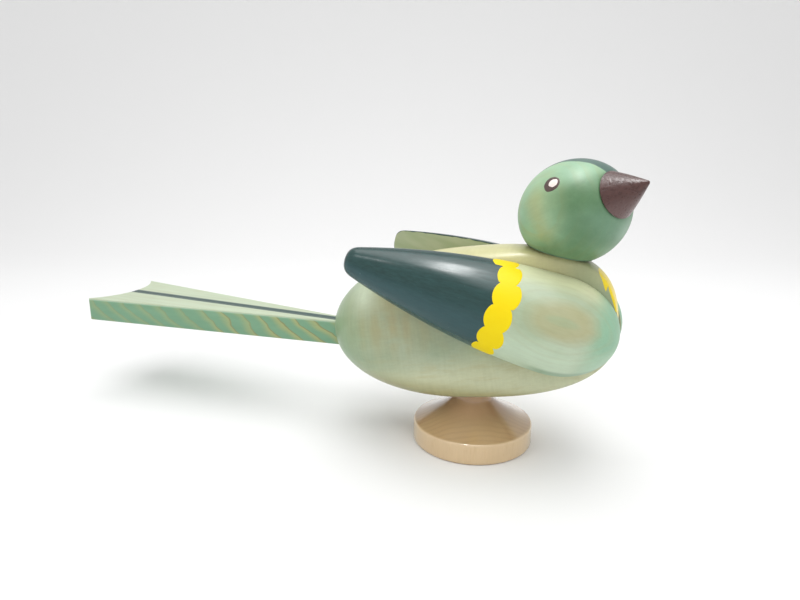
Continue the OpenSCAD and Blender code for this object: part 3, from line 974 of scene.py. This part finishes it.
# %% [markdown]
# ### The dark crown
# A dark grey-green crown runs back from the beak, narrow in front and wide behind, and ends at the
# level of the eyes. Its width is a list of points along the head. It is opaque, so it is a little
# smoother than the stain and stands up a little.

# %% Crown, and the finish of the head
CROWN = tone(0.060, 0.125, 0.102)
CROWN_HALF_WIDTH = ((-18.0, 9.0), (-8.0, 8.6), (0.0, 6.8), (4.2, 5.3), (8.9, 4.5), (11.4, 3.4),
                    (13.9, 2.4), (15.6, 1.6), (18.0, 1.5))
CROWN_MIDDLE, CROWN_EDGE, CROWN_RELIEF = 1.5, (1.62, 1.38), 0.04


def crown_mask(desk, own, seed):
    x, y, z = own
    shake = (noise(desk, own, (4, 4, 4), seed + 6.0) - 0.5) * 0.8
    half = curve(desk, x, CROWN_HALF_WIDTH)
    aside = abs(y - CROWN_MIDDLE) + shake
    return desk.between(aside - half, *CROWN_EDGE) * desk.between(z, 0, 0.5)


def head_paint(desk, own, colour, roughness, height, seed):
    crown = crown_mask(desk, own, seed)
    colour = desk.mix(crown, head_clouds(desk, own, colour, seed), CROWN)
    lathe_marks = noise(desk, own, (1.1, 8, 8), seed + 9.0, 3.0, 0.6) - 0.5
    return colour, roughness - crown * 0.06, height + crown * CROWN_RELIEF + lathe_marks * 0.05


HEAD_STAIN = stained("head_stain", HEAD_OWN, HEAD_TONES, heart=(45, -10), spacing=2.6, seed=11.0,
                     paint=head_paint, gloss=0.46, ring_depth=0.3, varnish=0.1)

# %% [markdown]
# ### The tail's stain, its slanting rings and its dark line
# The tail is sawn from a board whose growth rings run across its thickness at a slant, so its
# edges show slanting ochre lines in the green. The upper face is pale, and a dark line is painted
# over the joint of its two halves. So one finish holds two grounds, and the height decides
# which of them shows. A pale band along the top of each edge is a painted highlight of the
# sanded corner.

# %% Finish of the tail
EDGE_GREEN, EDGE_PALE = tone(0.142, 0.298, 0.178), tone(0.192, 0.35, 0.221)
EDGE_PAINTED_HIGHLIGHT, RING_OCHRE = tone(0.40, 0.54, 0.40), tone(0.355, 0.374, 0.154)
RING_DARK, FACE_FLAME = tone(0.182, 0.182, 0.072), tone(0.36, 0.34, 0.18)
FACE, PALE_FACE = tone(0.41, 0.482, 0.343), tone(0.49, 0.566, 0.413)
DARK_LINE, LINE_HALF = tone(0.045, 0.085, 0.075), (2.05, 1.85)
RING_APART, FLAME_APART = 8.0, 3.4


def slanting_rings(desk, own):
    """The rings on the board's edge: a wide ochre part and a thin dark end of each."""
    x, _, z = own
    sway = (noise(desk, own, (22, 40, 9), 3.0, 3.0) - 0.5) * 13
    number = (x + z * (0.9 + z * -0.03) + sway) / RING_APART
    part = number - number.sum("FLOOR")
    ochre = desk.between(part, 0.35, 0.9) * desk.between(part, 1.0, 0.94)
    dark = desk.between(part, 0.86, 0.93) * desk.between(part, 1.0, 0.95)
    return ochre, dark


def board_edge(desk, own, clouds, ochre, dark):
    x, _, z = own
    strong = desk.between(noise(desk, own, (16, 60, 16), 5.0) + x / 260, 0.15, 0.45)
    colour = desk.mix(clouds, EDGE_GREEN, EDGE_PALE)
    colour = desk.mix(ochre * (0.35 + strong * 0.5), colour, RING_OCHRE)
    colour = desk.mix(dark * (0.25 + strong * 0.4), colour, RING_DARK)
    # painted highlight: a pale band along the top of the edge, where the sanded corner catches light
    return desk.mix(desk.between(z, -1.1, -0.4) * 0.7, colour, EDGE_PAINTED_HIGHLIGHT)


def board_face(desk, own, clouds):
    sway = (noise(desk, own, (70, 7, 7), 5.0, 2.0) - 0.5) * 5
    flame = ((own[1] / FLAME_APART + sway) * TURN).sum("SINE")
    return desk.mix(desk.most(flame, 0) * 0.2, desk.mix(clouds, FACE, PALE_FACE), FACE_FLAME)


def tail_finish(name, space):
    material, desk, own = start_finish(name, space)
    _, y, z = own
    clouds = noise(desk, own, (18, 6, 3), 8.0, 3.0)
    ochre, dark = slanting_rings(desk, own)
    side = desk.between(z, -0.35, -0.6)
    colour = desk.mix(side, board_face(desk, own, clouds),
                      board_edge(desk, own, clouds, ochre, dark))
    streak = fibres(desk, own, 7.7)
    colour = shaded(desk, colour, 1 + streak * 0.18)
    shake = (noise(desk, own, (12, 1, 1), 2.0) - 0.5) * 0.25
    line = desk.between(abs(y) + shake, *LINE_HALF) * desk.between(z, -1.2, -0.4)
    colour = desk.mix(line, colour, DARK_LINE)
    height = streak * 0.014 - ochre * side * 0.02
    return end_finish(material, desk, colour, 0.46 + streak * 0.12, height, IOR=1.45)


TAIL_STAIN = tail_finish("tail_stain", TAIL_SPACE)

# %% [markdown]
# ### End grain on the foot's sweep
# The foot is plain beech with its grain upright. Its sweep cuts across the grain, and end grain
# soaks up more of the finish, so it is browner than the rim. Its neck ring is painted darker and
# redder, as painted shade under the belly, and the sweep is painted paler towards the rim, as
# painted light from the bright floor. Faint lines across it are the tree's years.

# %% End grain
END_GRAIN, UPPER_SWEEP = tone(0.363, 0.239, 0.121), tone(0.43, 0.262, 0.14)
NECK_PAINTED_SHADE, OUTER_SWEEP_PAINTED_LIGHT = tone(0.34, 0.175, 0.045), tone(0.461, 0.3035, 0.1537)
YEAR_LINE, YEAR_TURN = tone(0.2614, 0.1721, 0.0871), 3.1


def end_grain(desk, own, rim_top):
    """Tone of the sweep. rim_top is the place along the grain where the sweep starts."""
    x, y, z = own
    radius = desk.sum("SQRT", y * y + z * z)
    sawn = (y + z * 0.45 + (noise(desk, own, (9, 9, 9), 6.6) - 0.5) * 3) * YEAR_TURN
    year = desk.between(sawn.sum("SINE"), -0.2, 1) * desk.between(radius, 8, 16)
    colour = desk.mix(desk.between(x, rim_top + 2, rim_top + 7) * 0.9, END_GRAIN, UPPER_SWEEP)
    # painted shade: a darker, redder ring at the neck, under the belly
    colour = desk.mix(desk.between(x, rim_top + 8.0, rim_top + 8.7), colour, NECK_PAINTED_SHADE)
    # painted light: the sweep is paler towards the rim, lit from the floor
    colour = desk.mix(desk.between(radius, 9, 17), colour, OUTER_SWEEP_PAINTED_LIGHT)
    return desk.mix(year * 0.16, colour, YEAR_LINE)


print("the years are", round(TURN / YEAR_TURN, 1), "mm apart")

# %% [markdown]
# ### Bare beech and limewood
# The foot's rim shows short fine flecks, which are the rays of beech. The dowels are beech too,
# and the block and the inside of the hollow are bare limewood. The foot has a clear hard finish,
# which mirrors the bright room where it is seen at a low angle, so it also gets a coat.

# %% Finish of the foot and of bare wood
FLECK_BROWN, FLECK = tone(0.46, 0.28, 0.12), (4, 0.7, 0.7)
UPRIGHT_GRAIN = turned(y=-90)


def bare_wood(name, space, light, dark, rim_top=None, gloss=0.5, **fixed):
    material, desk, own = start_finish(name, space)
    flecks = desk.between(noise(desk, own, FLECK, 1.5, 2.0), 0.54, 0.72)
    bands = noise(desk, own, (60, 4, 4), 2.5, 3.0)
    colour = desk.mix(bands, light, dark)
    colour = desk.mix(flecks * 0.2, colour, FLECK_BROWN)
    if rim_top:
        end = desk.between(own[0], rim_top - 0.45, rim_top + 0.15)
        colour = desk.mix(end, colour, end_grain(desk, own, rim_top))
    streak = fibres(desk, own, 9.0)
    colour = shaded(desk, colour, 1 + streak * 0.16)
    return end_finish(material, desk, colour, gloss + streak * 0.1, streak * FIBRE_RELIEF,
                      IOR=1.45, **fixed)


BEECH = bare_wood("plain_beech", UPRIGHT_GRAIN, tone(0.642, 0.474, 0.27),
                  tone(0.567, 0.405, 0.223), FOOT_RIM_H, gloss=0.3,
                  Coat_Weight=1.0, Coat_Roughness=0.14, Coat_IOR=1.65)
BARE = bare_wood("bare_limewood", BODY_OWN, tone(0.72, 0.58, 0.38), tone(0.64, 0.50, 0.31))
DOWEL = bare_wood("dowel_beech", UPRIGHT_GRAIN, tone(0.74, 0.58, 0.38), tone(0.66, 0.50, 0.30))

# %% [markdown]
# ## Turned and sawn pieces, drawn in code
# A turned piece for the foot, the beak, a bore or a cutter is an outline spun around its axis. A
# sawn piece is a block between two corners, or a flat outline with a thickness. Nothing repeats
# in them and they have few points, so code draws them in fewer lines than a node tree would.

# %% Spun, round, square and flat pieces
SPUN_SIDES, ROD_SIDES = 96, 64


def built(shape, name):
    """The shape that was drawn in code, as an object."""
    mesh = bpy.data.meshes.new(name)
    shape.to_mesh(mesh)
    shape.free()
    return wrap(mesh, name)


def spun(name, outline, space=Matrix.Identity(4), steps=SPUN_SIDES):
    """A turned piece from (radius, height) points that start and end at the axis."""
    shape = bmesh.new()
    turns = [TURN * k / steps for k in range(steps)]
    hoops = []
    for radius, height in outline:
        around = turns if radius > 0 else [0.0]
        places = [Vector((radius * math.cos(t), radius * math.sin(t), height)) for t in around]
        hoops.append([shape.verts.new(space @ place) for place in places])
    for low, high in zip(hoops, hoops[1:]):
        for k in range(steps):
            after = (k + 1) % steps
            corners = [low[k % len(low)], low[after % len(low)],
                       high[after % len(high)], high[k % len(high)]]
            shape.faces.new(list(dict.fromkeys(corners)))
    bmesh.ops.scale(shape, vec=(MM, MM, MM), verts=shape.verts)
    return built(shape, name)


def rod(name, space, radius, low, high):
    return spun(name, [(0, low), (radius, low), (radius, high), (0, high)], space, ROD_SIDES)


def block(name, space, low, high):
    """A box between two corners, in a piece's own coordinates."""
    shape = bmesh.new()
    bmesh.ops.create_cube(shape, size=1)
    middle, size = (Vector(low) + Vector(high)) / 2, Vector(high) - Vector(low)
    for corner in shape.verts:
        corner.co = space @ (middle + corner.co * size) * MM
    return built(shape, name)


def prism(name, space, outline, low, high):
    """A flat outline of (x, y) points with thickness, in a piece's own coordinates."""
    shape = bmesh.new()
    floor = [shape.verts.new(space @ Vector((x, y, low)) * MM) for x, y in outline]
    roof = [shape.verts.new(space @ Vector((x, y, high)) * MM) for x, y in outline]
    shape.faces.new(floor)
    shape.faces.new(roof)
    for k in range(len(outline)):
        shape.faces.new([floor[k - 1], floor[k], roof[k], roof[k - 1]])
    return built(shape, name)


print("a rod has", ROD_SIDES, "sides, and a spun piece has", SPUN_SIDES, "or more")

# %% [markdown]
# ## Carving
# Hollows and holes are cut with Boolean modifiers, as a carver takes wood away after the turning.
# All the cutters of one piece lie in one tray and cut at once. A cut face gets bare wood as its
# finish, because the stain was brushed on from outside only.

# %% Cutting a piece
def coat(piece, finish):
    """Gives all of a piece one finish."""
    piece.data.materials.clear()
    piece.data.materials.append(finish)
    return piece


def finished(piece):
    """The piece with its modifiers made part of its mesh."""
    evaluated = piece.evaluated_get(bpy.context.evaluated_depsgraph_get())
    mesh = bpy.data.meshes.new_from_object(evaluated)
    piece.modifiers.clear()
    piece.data = mesh
    return piece


def carve(piece, *cutters, operation="DIFFERENCE"):
    """Cuts the cutters out of the piece, or keeps only what is inside one, and throws them away."""
    tray = bpy.data.collections.new("cutters")
    bpy.context.scene.collection.children.link(tray)
    for cutter in cutters:
        tray.objects.link(cutter)
        if piece.data.materials:
            coat(cutter, BARE)
    cut = piece.modifiers.new("cut", "BOOLEAN")
    cut.operation, cut.solver, cut.use_self = operation, "EXACT", len(cutters) > 1
    cut.operand_type, cut.collection, cut.material_mode = "COLLECTION", tray, "TRANSFER"
    bpy.context.view_layer.update()
    finished(piece)
    for cutter in cutters:
        bpy.data.objects.remove(cutter)
    bpy.data.collections.remove(tray)
    return piece


print("cut faces get", BARE.name)

# %% [markdown]
# ## From a mesh to a piece of the part
# A finished mesh is shaded smooth up to its real edges. Then it is told which body it moves with
# and which packed pieces it stands for. A piece with no packed piece of its own, such as a dab of
# paint, only rides along.

# %% Shading a piece and giving it its body
def smooth(piece, edge_degrees=35):
    """Smooth shading, except across edges sharper than this."""
    shape = bmesh.new()
    shape.from_mesh(piece.data)
    for face in shape.faces:
        face.smooth = True
    sharpest = math.radians(edge_degrees)
    for edge in shape.edges:
        edge.smooth = len(edge.link_faces) != 2 or edge.calc_face_angle() < sharpest
    shape.to_mesh(piece.data)
    shape.free()
    return piece


def fit(piece, body, *nodes, slot=None):
    """Puts a piece on the body it moves with, in place of the packed nodes it stands for."""
    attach(piece, body)
    if nodes:
        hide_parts(*nodes)
    piece.data.calc_loop_triangles()
    print(piece.name, "rides on", body, "with", len(piece.data.loop_triangles), "triangles")
    return piece


print("bodies to ride on:", sorted(bodies))

# %% [markdown]
# ## The hollow of the body
# The body is sawn in two on its long axis, hollowed and glued again. The air space is the same egg
# as the outside, only smaller, so the wall is even. It ends at the block behind, and it leaves a
# boss of wood around the foot's peg. Behind the block, a second hollow leads the wind from the
# tail to the block.

# %% Hollows
REACH = 80
BLOCK_FRONT = -31.0
BOSS_R, BOSS_TOP = 7.5, 35.2
HOLLOW_GRID = {"Rows": 49, "Columns": 73}
HERE = Matrix.Identity(4)


def inner_egg(name, flank_wall):
    return grow(BODY_TREE, name, BODY_SPACE, Half_Length=BODY_A - SHELL_WALL,
                Radius=BODY_C - SHELL_WALL, Flat_Depth=flank_wall, **HOLLOW_GRID)


def slice_of(space, rear, front):
    """What lies between two places along the body's axis."""
    return carve(space, block("slice", BODY_SPACE, (-REACH, -REACH, rear), (REACH, REACH, front)),
                 operation="INTERSECT")


def air_space(front):
    """The hollow ahead of the block, around the boss of the foot's peg."""
    space = slice_of(inner_egg("air", FLANK_WALL), BLOCK_FRONT, front)
    return carve(space, rod("boss", HERE, BOSS_R, 0, BOSS_TOP))


def rear_space():
    return slice_of(inner_egg("rear", -REACH), -REACH, BLOCK_FRONT + 0.01)


print("the hollow's widest radius is", round(BODY_C - SHELL_WALL, 1), "mm")

# %% [markdown]
# ## Socket, window and finger holes
# Both shells hold the tail's tongue in one socket, a little larger than the tongue. The lower
# shell has the window, where the wind meets a sharp edge, and a ramp that leads the air off it.
# It also has the finger holes and the round seat of the foot, with the bore for its peg.

# %% Openings of the body
SOCKET_PLAY, SOCKET_REAR = 0.05, -20.0
WINDOW_FRONT, WINDOW_HALF, RAMP_END = -25.0, 4.0, -17.0
FINGER_PLACES, FINGER_R = (-11.5, 12.0, 20.0, 27.5), 3.1
PEG_BORE_R, PEG_TOP, RECESS_R, RECESS_FLOOR = 4.05, 32.7, 6.9, 10
RECESS_TOP = FOOT_TOP + 0.15
RECESS = ((0, RECESS_FLOOR), (RECESS_R, RECESS_FLOOR), (RECESS_R, RECESS_TOP),
          (PEG_BORE_R, RECESS_TOP), (PEG_BORE_R, PEG_TOP), (0, PEG_TOP))


def body_radius(along):
    """Radius of the body's round outline at a place along its axis."""
    power = BREAST_FULLNESS if along > 0 else RUMP_FULLNESS
    return BODY_C * (1 - abs(along / BODY_A) ** power) ** (1 / power)


def tail_socket():
    half_w = TAIL_ROOT_W / 2 + SOCKET_PLAY
    wider = half_w + (TAIL_END_W - TAIL_ROOT_W) / 2 * -SOCKET_REAR / TAIL_LENGTH
    outline = [(TAIL_TONGUE, -half_w), (TAIL_TONGUE, half_w), (0, half_w), (SOCKET_REAR, wider),
               (SOCKET_REAR, -wider), (0, -half_w)]
    return prism("socket", TAIL_SPACE, outline, -TAIL_THICKNESS - SOCKET_PLAY, SOCKET_PLAY)


def window_cutters():
    """The window through the wall, and the ramp that leads the air off the sharp edge."""
    floor_r = body_radius(WINDOW_FRONT) - SHELL_WALL + 0.5
    ramp = [(floor_r, WINDOW_FRONT - 0.01), (body_radius(RAMP_END), RAMP_END),
            (BODY_C + 1, RAMP_END), (BODY_C + 1, WINDOW_FRONT - 0.01)]
    ramp_space = BODY_SPACE @ Matrix(((1, 0, 0, 0), (0, 0, 1, 0), (0, 1, 0, 0), (0, 0, 0, 1)))
    return [block("window", BODY_SPACE, (0, -WINDOW_HALF, BLOCK_FRONT),
                  (REACH, WINDOW_HALF, WINDOW_FRONT)),
            prism("ramp", ramp_space, ramp, -WINDOW_HALF, WINDOW_HALF)]


def finger_holes():
    return [rod("finger", Matrix.Translation((place, 0, 0)), FINGER_R, 0, PEG_TOP)
            for place in FINGER_PLACES]


print("finger holes:", len(FINGER_PLACES), "of", 2 * FINGER_R, "mm")

# %% [markdown]
# ## The two shells
# Each shell is the whole egg, halved and then cut. The lower one gets all the openings. The upper
# one gets the flat seat of the head and the bore for the neck's dowel.

# %% Belly shell and back shell
BELLY_HOLLOW_FRONT, BACK_HOLLOW_FRONT = 30.0, 15.0
DOWEL_BORE_R, DOWEL_DEPTH = 4.0, 12


def half_egg(name, low, high):
    """The egg between two places across the joint of the shells."""
    half = block("half", BODY_SPACE, (low, -REACH, -REACH), (high, REACH, REACH))
    return carve(grow(BODY_TREE, name, BODY_SPACE, Finish=MINT), half, operation="INTERSECT")


belly = half_egg("belly_shell", 0, REACH)
carve(belly, air_space(BELLY_HOLLOW_FRONT), rear_space(), tail_socket(), *window_cutters(),
      *finger_holes(), spun("recess", RECESS))
fit(smooth(belly), "bird", "belly_shell", slot="mint_stain")

back = half_egg("back_shell", -REACH, 0)
carve(back, air_space(BACK_HOLLOW_FRONT), rear_space(), tail_socket(),
      block("seat", SEAT_SPACE, (-REACH, -REACH, 0), (REACH, REACH, REACH)),
      rod("bore", SEAT_SPACE, DOWEL_BORE_R, -DOWEL_DEPTH, 1))
fit(smooth(back), "bird", "back_shell", slot="mint_stain")

# %% [markdown]
# ## Wings with their dabs
# Both wings come from one spindle, so the right wing is the left one mirrored in the bird's
# middle plane. The mirror is part of the place it is grown in, so the same tree makes both. The
# yellow dabs are thick paint, and ride on the same body as their wing.

# %% Wings with their yellow dabs
for side, space in (("left", LEFT_WING_SPACE), ("right", RIGHT_WING_SPACE)):
    wing = grow(WING_TREE, side + "_wing", space, Finish=WING_FINISH[side])
    fit(smooth(wing, 50), "bird", side + "_wing", slot="wing_paint")
    dabs = grow(DAB_TREE, side + "_wing_dabs", space, Finish=YELLOW_PAINT[side])
    fit(smooth(dabs, 60), "bird")

# %% [markdown]
# ## Head and eyes
# The grown egg is drilled from below for the neck's dowel and in front for the beak's tenon. An
# eye is a dark dab with a small pale one on it. Both lie on the egg's own surface, so they
# follow its curve, and the pale dab is the thicker one and stands clear of the dark.

# %% Head and eyes
HEAD_BORE_R, HEAD_BORE_DEPTH = 4.05, 11.8
MORTISE_R, MORTISE_FLOOR, MORTISE_TOP = 3.5, 8.8, 20
EYE = {"Down": -7.2, "Forward": 5.7, "Radius": 2.35, "Stretch": 1.14, "Unevenness": 0.09,
       "Thickness": 0.14}
EYE_SPOT = {"Down": -7.25, "Forward": 6.05, "Radius": 1.42, "Stretch": 1.12, "Unevenness": 0.15,
            "Thickness": 0.26}
EYE_SIDE, SPOT_SIDE, EYE_SEED, SPOT_SEED = 12.5, 12.3, 3.0, 8.0

head = grow(HEAD_TREE, "head", HEAD_SPACE, Finish=HEAD_STAIN)
carve(head, rod("bore", SEAT_SPACE, HEAD_BORE_R, 0, HEAD_BORE_DEPTH),
      rod("mortise", HEAD_SPACE, MORTISE_R, MORTISE_FLOOR, MORTISE_TOP))
fit(smooth(head), "head", "head", slot="head_stain")
for side, sign in (("left", 1), ("right", -1)):
    ring = grow(EYE_TREE, side + "_eye", HEAD_SPACE, Side=EYE_SIDE * sign, Seed=EYE_SEED + sign,
                Finish=EYE_PAINT, **EYE)
    fit(ring, "head", slot="red_beak")
    spot = grow(EYE_TREE, side + "_eye_spot", HEAD_SPACE, Side=SPOT_SIDE * sign,
                Seed=SPOT_SEED + sign, Finish=PALE_PAINT, **EYE_SPOT)
    fit(spot, "head")

# %% [markdown]
# ## Beak
# The beak is turned, so half a section that is spun around the axis gives the whole piece. It is a
# cone that swells a little, with a rounded tip and a tenon for the head. Geometry Nodes could
# spin it too, but a list of points in code is easier to read for an outline with corners.

# %% Beak
BEAK_TIP_R, BEAK_TENON_R, BEAK_TENON_LENGTH, BEAK_BULGE, BEAK_SOFT = 0.65, 3.5, 7, 0.12, 0.35
CONE_POINTS, SEAT_LIFT = 24, 0.02


def arc(centre, radius, first, last, steps):
    """Points on an arc, from one angle to another in degrees."""
    turns = [math.radians(first + (last - first) * k / steps) for k in range(steps + 1)]
    return [(centre[0] + radius * math.cos(t), centre[1] + radius * math.sin(t)) for t in turns]


def beak_outline():
    """Half section of the beak, from the tenon's end to the tip."""
    slope = math.atan2(BEAK_R, BEAK_TIP - BEAK_BASE)
    tip = arc((0, BEAK_TIP - BEAK_TIP_R), BEAK_TIP_R, math.degrees(slope), 90, 8)
    base, top, seat = (BEAK_R, BEAK_BASE + BEAK_SOFT), tip[0], BEAK_BASE + SEAT_LIFT
    cone = []
    for k in range(CONE_POINTS + 1):
        share = k / CONE_POINTS
        bulge = BEAK_BULGE * math.sin(math.pi * share)
        cone.append((base[0] + (top[0] - base[0]) * share + bulge * math.cos(slope),
                     base[1] + (top[1] - base[1]) * share + bulge * math.sin(slope)))
    end = BEAK_BASE - BEAK_TENON_LENGTH
    tenon = [(0, end), (BEAK_TENON_R, end), (BEAK_TENON_R, seat), (BEAK_R - 0.25, seat)]
    return tenon + cone + tip[1:-1] + [(0, BEAK_TIP)]


beak = coat(smooth(spun("beak", beak_outline(), HEAD_SPACE, steps=144)), BEAK_PAINT)
fit(beak, "head", "beak", slot="red_beak")

# %% [markdown]
# ## Foot
# The foot is turned as well: a flat rim with softened edges, a sweep that steepens towards the
# neck, and a bore for the peg. The sweep is a power curve, because a turner lets the gouge run
# from the rim up to the neck in one movement, which bends more and more.

# %% Foot
SWEEP_TOP, SWEEP_POWER, SWEEP_POINTS = 15.8, 1.4, 40
RIM_EDGE, RIM_SOFT, NECK_EDGE, PEG_FLOOR = 0.8, 0.9, 0.3, 4.0


def foot_outline():
    """Half section of the foot, from the underside's middle to the floor of the peg's bore."""
    rim = arc((FOOT_R - RIM_SOFT, RIM_SOFT), RIM_SOFT, -90, 0, 6)
    top = arc((FOOT_R - RIM_SOFT, FOOT_RIM_H - RIM_SOFT), RIM_SOFT, 0, 78, 8)
    sweep = []
    for k in range(1, SWEEP_POINTS + 1):
        down = 1 - k / SWEEP_POINTS
        sweep.append((FOOT_NECK_R + (FOOT_R - RIM_EDGE - FOOT_NECK_R) * down ** SWEEP_POWER,
                      SWEEP_TOP - (SWEEP_TOP - FOOT_RIM_H) * down))
    neck = [(FOOT_NECK_R, FOOT_TOP - NECK_EDGE), (FOOT_NECK_R, FOOT_TOP)]
    bore = [(PEG_BORE_R, FOOT_TOP), (PEG_BORE_R, PEG_FLOOR), (0, PEG_FLOOR)]
    return [(0, 0)] + rim + top + sweep + neck + bore


foot = coat(smooth(spun("foot", foot_outline(), steps=192), 40), BEECH)
fit(foot, "stand", "foot", slot="plain_beech")

# %% [markdown]
# ## Tail
# The tail is a tapered board, sawn in two, grooved and glued again, so that a channel for the
# wind runs along its middle. Its outline is three straight lines and one arc for the hollow
# end. A bevel takes off the sharp edges, as a stroke of sandpaper would.

# %% Tail
NOTCH_R = (TAIL_END_W ** 2 / 4 + TAIL_NOTCH ** 2) / (2 * TAIL_NOTCH)
CHANNEL_H, CHANNEL_HALF, CHANNEL_TOP = 5.0, 1.0, 1.9
TAIL_EDGE, SHARP_DEGREES = 0.45, 30


def tail_half(name, space):
    """One half of the split board, with its hollow end and half of the wind channel."""
    middle = -TAIL_LENGTH + TAIL_NOTCH - NOTCH_R
    corner = math.degrees(math.asin(TAIL_END_W / 2 / NOTCH_R))
    hollow = arc((middle, 0), NOTCH_R, corner, 0, 24)
    outline = [(TAIL_TONGUE, 0), (TAIL_TONGUE, TAIL_ROOT_W / 2), (0, TAIL_ROOT_W / 2)] + hollow
    piece = coat(prism(name, space, outline, -TAIL_THICKNESS, 0), TAIL_STAIN)
    shape = bmesh.new()
    shape.from_mesh(piece.data)
    sharp = [edge for edge in shape.edges
             if edge.calc_face_angle() > math.radians(SHARP_DEGREES)]
    bmesh.ops.bevel(shape, geom=sharp, offset=TAIL_EDGE * MM, segments=3, profile=0.5,
                    affect="EDGES", clamp_overlap=True)
    shape.to_mesh(piece.data)
    shape.free()
    channel = block("channel", space, (-REACH * 2, -CHANNEL_HALF, -CHANNEL_TOP - CHANNEL_H),
                    (REACH, CHANNEL_HALF, -CHANNEL_TOP))
    return carve(piece, channel)


for side, space in (("left", TAIL_SPACE), ("right", TAIL_SPACE @ MIRROR)):
    fit(smooth(tail_half(side + "_tail", space), 25), "bird", side + "_tail", slot="tail_stain")

# %% [markdown]
# ## Pieces that stay as packed
# The peg, the dowels and the block are plain round or sawn wood and hardly show. Their packed
# shapes are right as they are, so they only get a finish.

# %% Pieces that stay as packed
for node, finish in (("foot_peg", DOWEL), ("left_wing_dowels", DOWEL), ("right_wing_dowels", DOWEL),
                     ("neck_dowel", DOWEL), ("windway_block", BARE)):
    packed = frame["nodes"][node]
    for place in packed.material_slots:
        place.material = finish
    print(node, "keeps its packed shape")

# %% [markdown]
# ## Camera
# The camera stands close, a little above the bird, and looks down on it. A wide lens makes the
# near pieces larger than the far ones. Its place is in millimetres, and its turns in radians:
# first the way it faces, then how far it looks down, then a trace of roll.

# %% Camera
scene = bpy.context.scene
CAMERA_PLACE = Vector((49.63, -188.72, 99.86))
CAMERA_YAW, CAMERA_DOWN, CAMERA_ROLL = 0.38565, 0.25925, 0.00627
LENS, SENSOR = 27.694, 36.0
camera_data = bpy.data.cameras.new("camera")
camera_data.sensor_width, camera_data.lens, camera_data.clip_start = SENSOR, LENS, 0.01
camera = bpy.data.objects.new("camera", camera_data)
bpy.context.collection.objects.link(camera)
camera.matrix_world = (Matrix.Translation(CAMERA_PLACE * MM) @ Matrix.Rotation(CAMERA_YAW, 4, "Z")
                       @ Matrix.Rotation(math.pi / 2 - CAMERA_DOWN, 4, "X")
                       @ Matrix.Rotation(CAMERA_ROLL, 4, "Z"))
scene.camera = camera
print("the lens is", LENS, "mm on a frame", SENSOR, "mm wide")

# %% [markdown]
# ## Floor
# A sheet of pale paper lies under the bird and curves up behind it, so no horizon shows. It is
# a row of lines from the near end to the top of the wall, turned to face the camera.

# %% Floor
FLOOR_NEAR, FLOOR_FLAT, FLOOR_BEND, BEND_R = -900, 200, 300, 320
WALL_TOP, FLOOR_HALF_W = 1400, 1500
PAPER_TONE, PAPER_ROUGHNESS = 0.78, 0.9


def make_floor():
    """A pale sheet that lies on the table and curves up behind the bird."""
    rows = [(FLOOR_NEAR, 0), (FLOOR_FLAT, 0)]
    rows += arc((FLOOR_BEND, BEND_R), BEND_R, -90, 0, 16)
    rows += [(FLOOR_BEND + BEND_R, WALL_TOP)]
    shape = bmesh.new()
    aim = Matrix.Rotation(CAMERA_YAW, 4, "Z")
    lines = [[shape.verts.new(aim @ Vector((side * FLOOR_HALF_W, y, z)) * MM) for side in (-1, 1)]
             for y, z in rows]
    for low, high in zip(lines, lines[1:]):
        shape.faces.new([low[0], low[1], high[1], high[0]])
    mesh = bpy.data.meshes.new("floor")
    shape.to_mesh(mesh)
    shape.free()
    for face in mesh.polygons:
        face.use_smooth = True
    floor = bpy.data.objects.new("floor", mesh)
    bpy.context.collection.objects.link(floor)
    return floor


floor = make_floor()
paper = bpy.data.materials.new("paper")
paper.use_nodes = True
shader = paper.node_tree.nodes["Principled BSDF"]
shader.inputs["Base Color"].default_value = tone(PAPER_TONE, PAPER_TONE, PAPER_TONE)
shader.inputs["Roughness"].default_value = PAPER_ROUGHNESS
floor.data.materials.append(paper)
print("the paper is", 2 * FLOOR_HALF_W / 1000, "m wide")

# %% [markdown]
# ## Light
# Most of the light comes from the bright room and from two broad lamps, which keep the shadows
# soft. Satin paint also shows small bright highlights, and a small strong lamp would give those
# but also hard shadows. So two narrow lamps are seen only in reflections and light nothing else.

# %% Lamps and room
ROOM_LIGHT = 0.95


def softbox(name, place, target, width, height, power, gloss_only=False, spread=180):
    """A rectangular lamp. The place, the target and the sizes are in mm, and the power in W."""
    light = bpy.data.lights.new(name, "AREA")
    light.shape, light.energy = "RECTANGLE", power
    light.size, light.size_y = width * MM, height * MM
    light.spread = math.radians(spread)
    lamp = bpy.data.objects.new(name, light)
    bpy.context.collection.objects.link(lamp)
    lamp.location = Vector(place) * MM
    lamp.rotation_euler = (Vector(target) - Vector(place)).to_track_quat("-Z", "Y").to_euler()
    lamp.visible_diffuse = not gloss_only
    print("lamp", name, "of", power, "W,", "in reflections only" if gloss_only else "for all")


softbox("over the back", (-27, -62, 560), (-27, -62, 0), 50, 260, 1.3, gloss_only=True)
softbox("over the breast", (150, -25, 560), (120, -20, 0), 45, 120, 0.06, gloss_only=True)
softbox("in front, left", (-260, -300, 620), (-20, 0, 40), 80, 80, 0.2)
softbox("overhead", (-70, 150, 750), (0, 0, 0), 620, 620, 0.8, spread=90)
softbox("front, right", (160, -260, 700), (0, 0, 0), 420, 420, 0.42, spread=100)
world = bpy.data.worlds.new("room")
scene.world = world
world.use_nodes = True
room = world.node_tree.nodes["Background"]
room.inputs["Color"].default_value = tone(1, 1, 1)
room.inputs["Strength"].default_value = ROOM_LIGHT
scene.view_settings.view_transform = "Standard"

# %% [markdown]
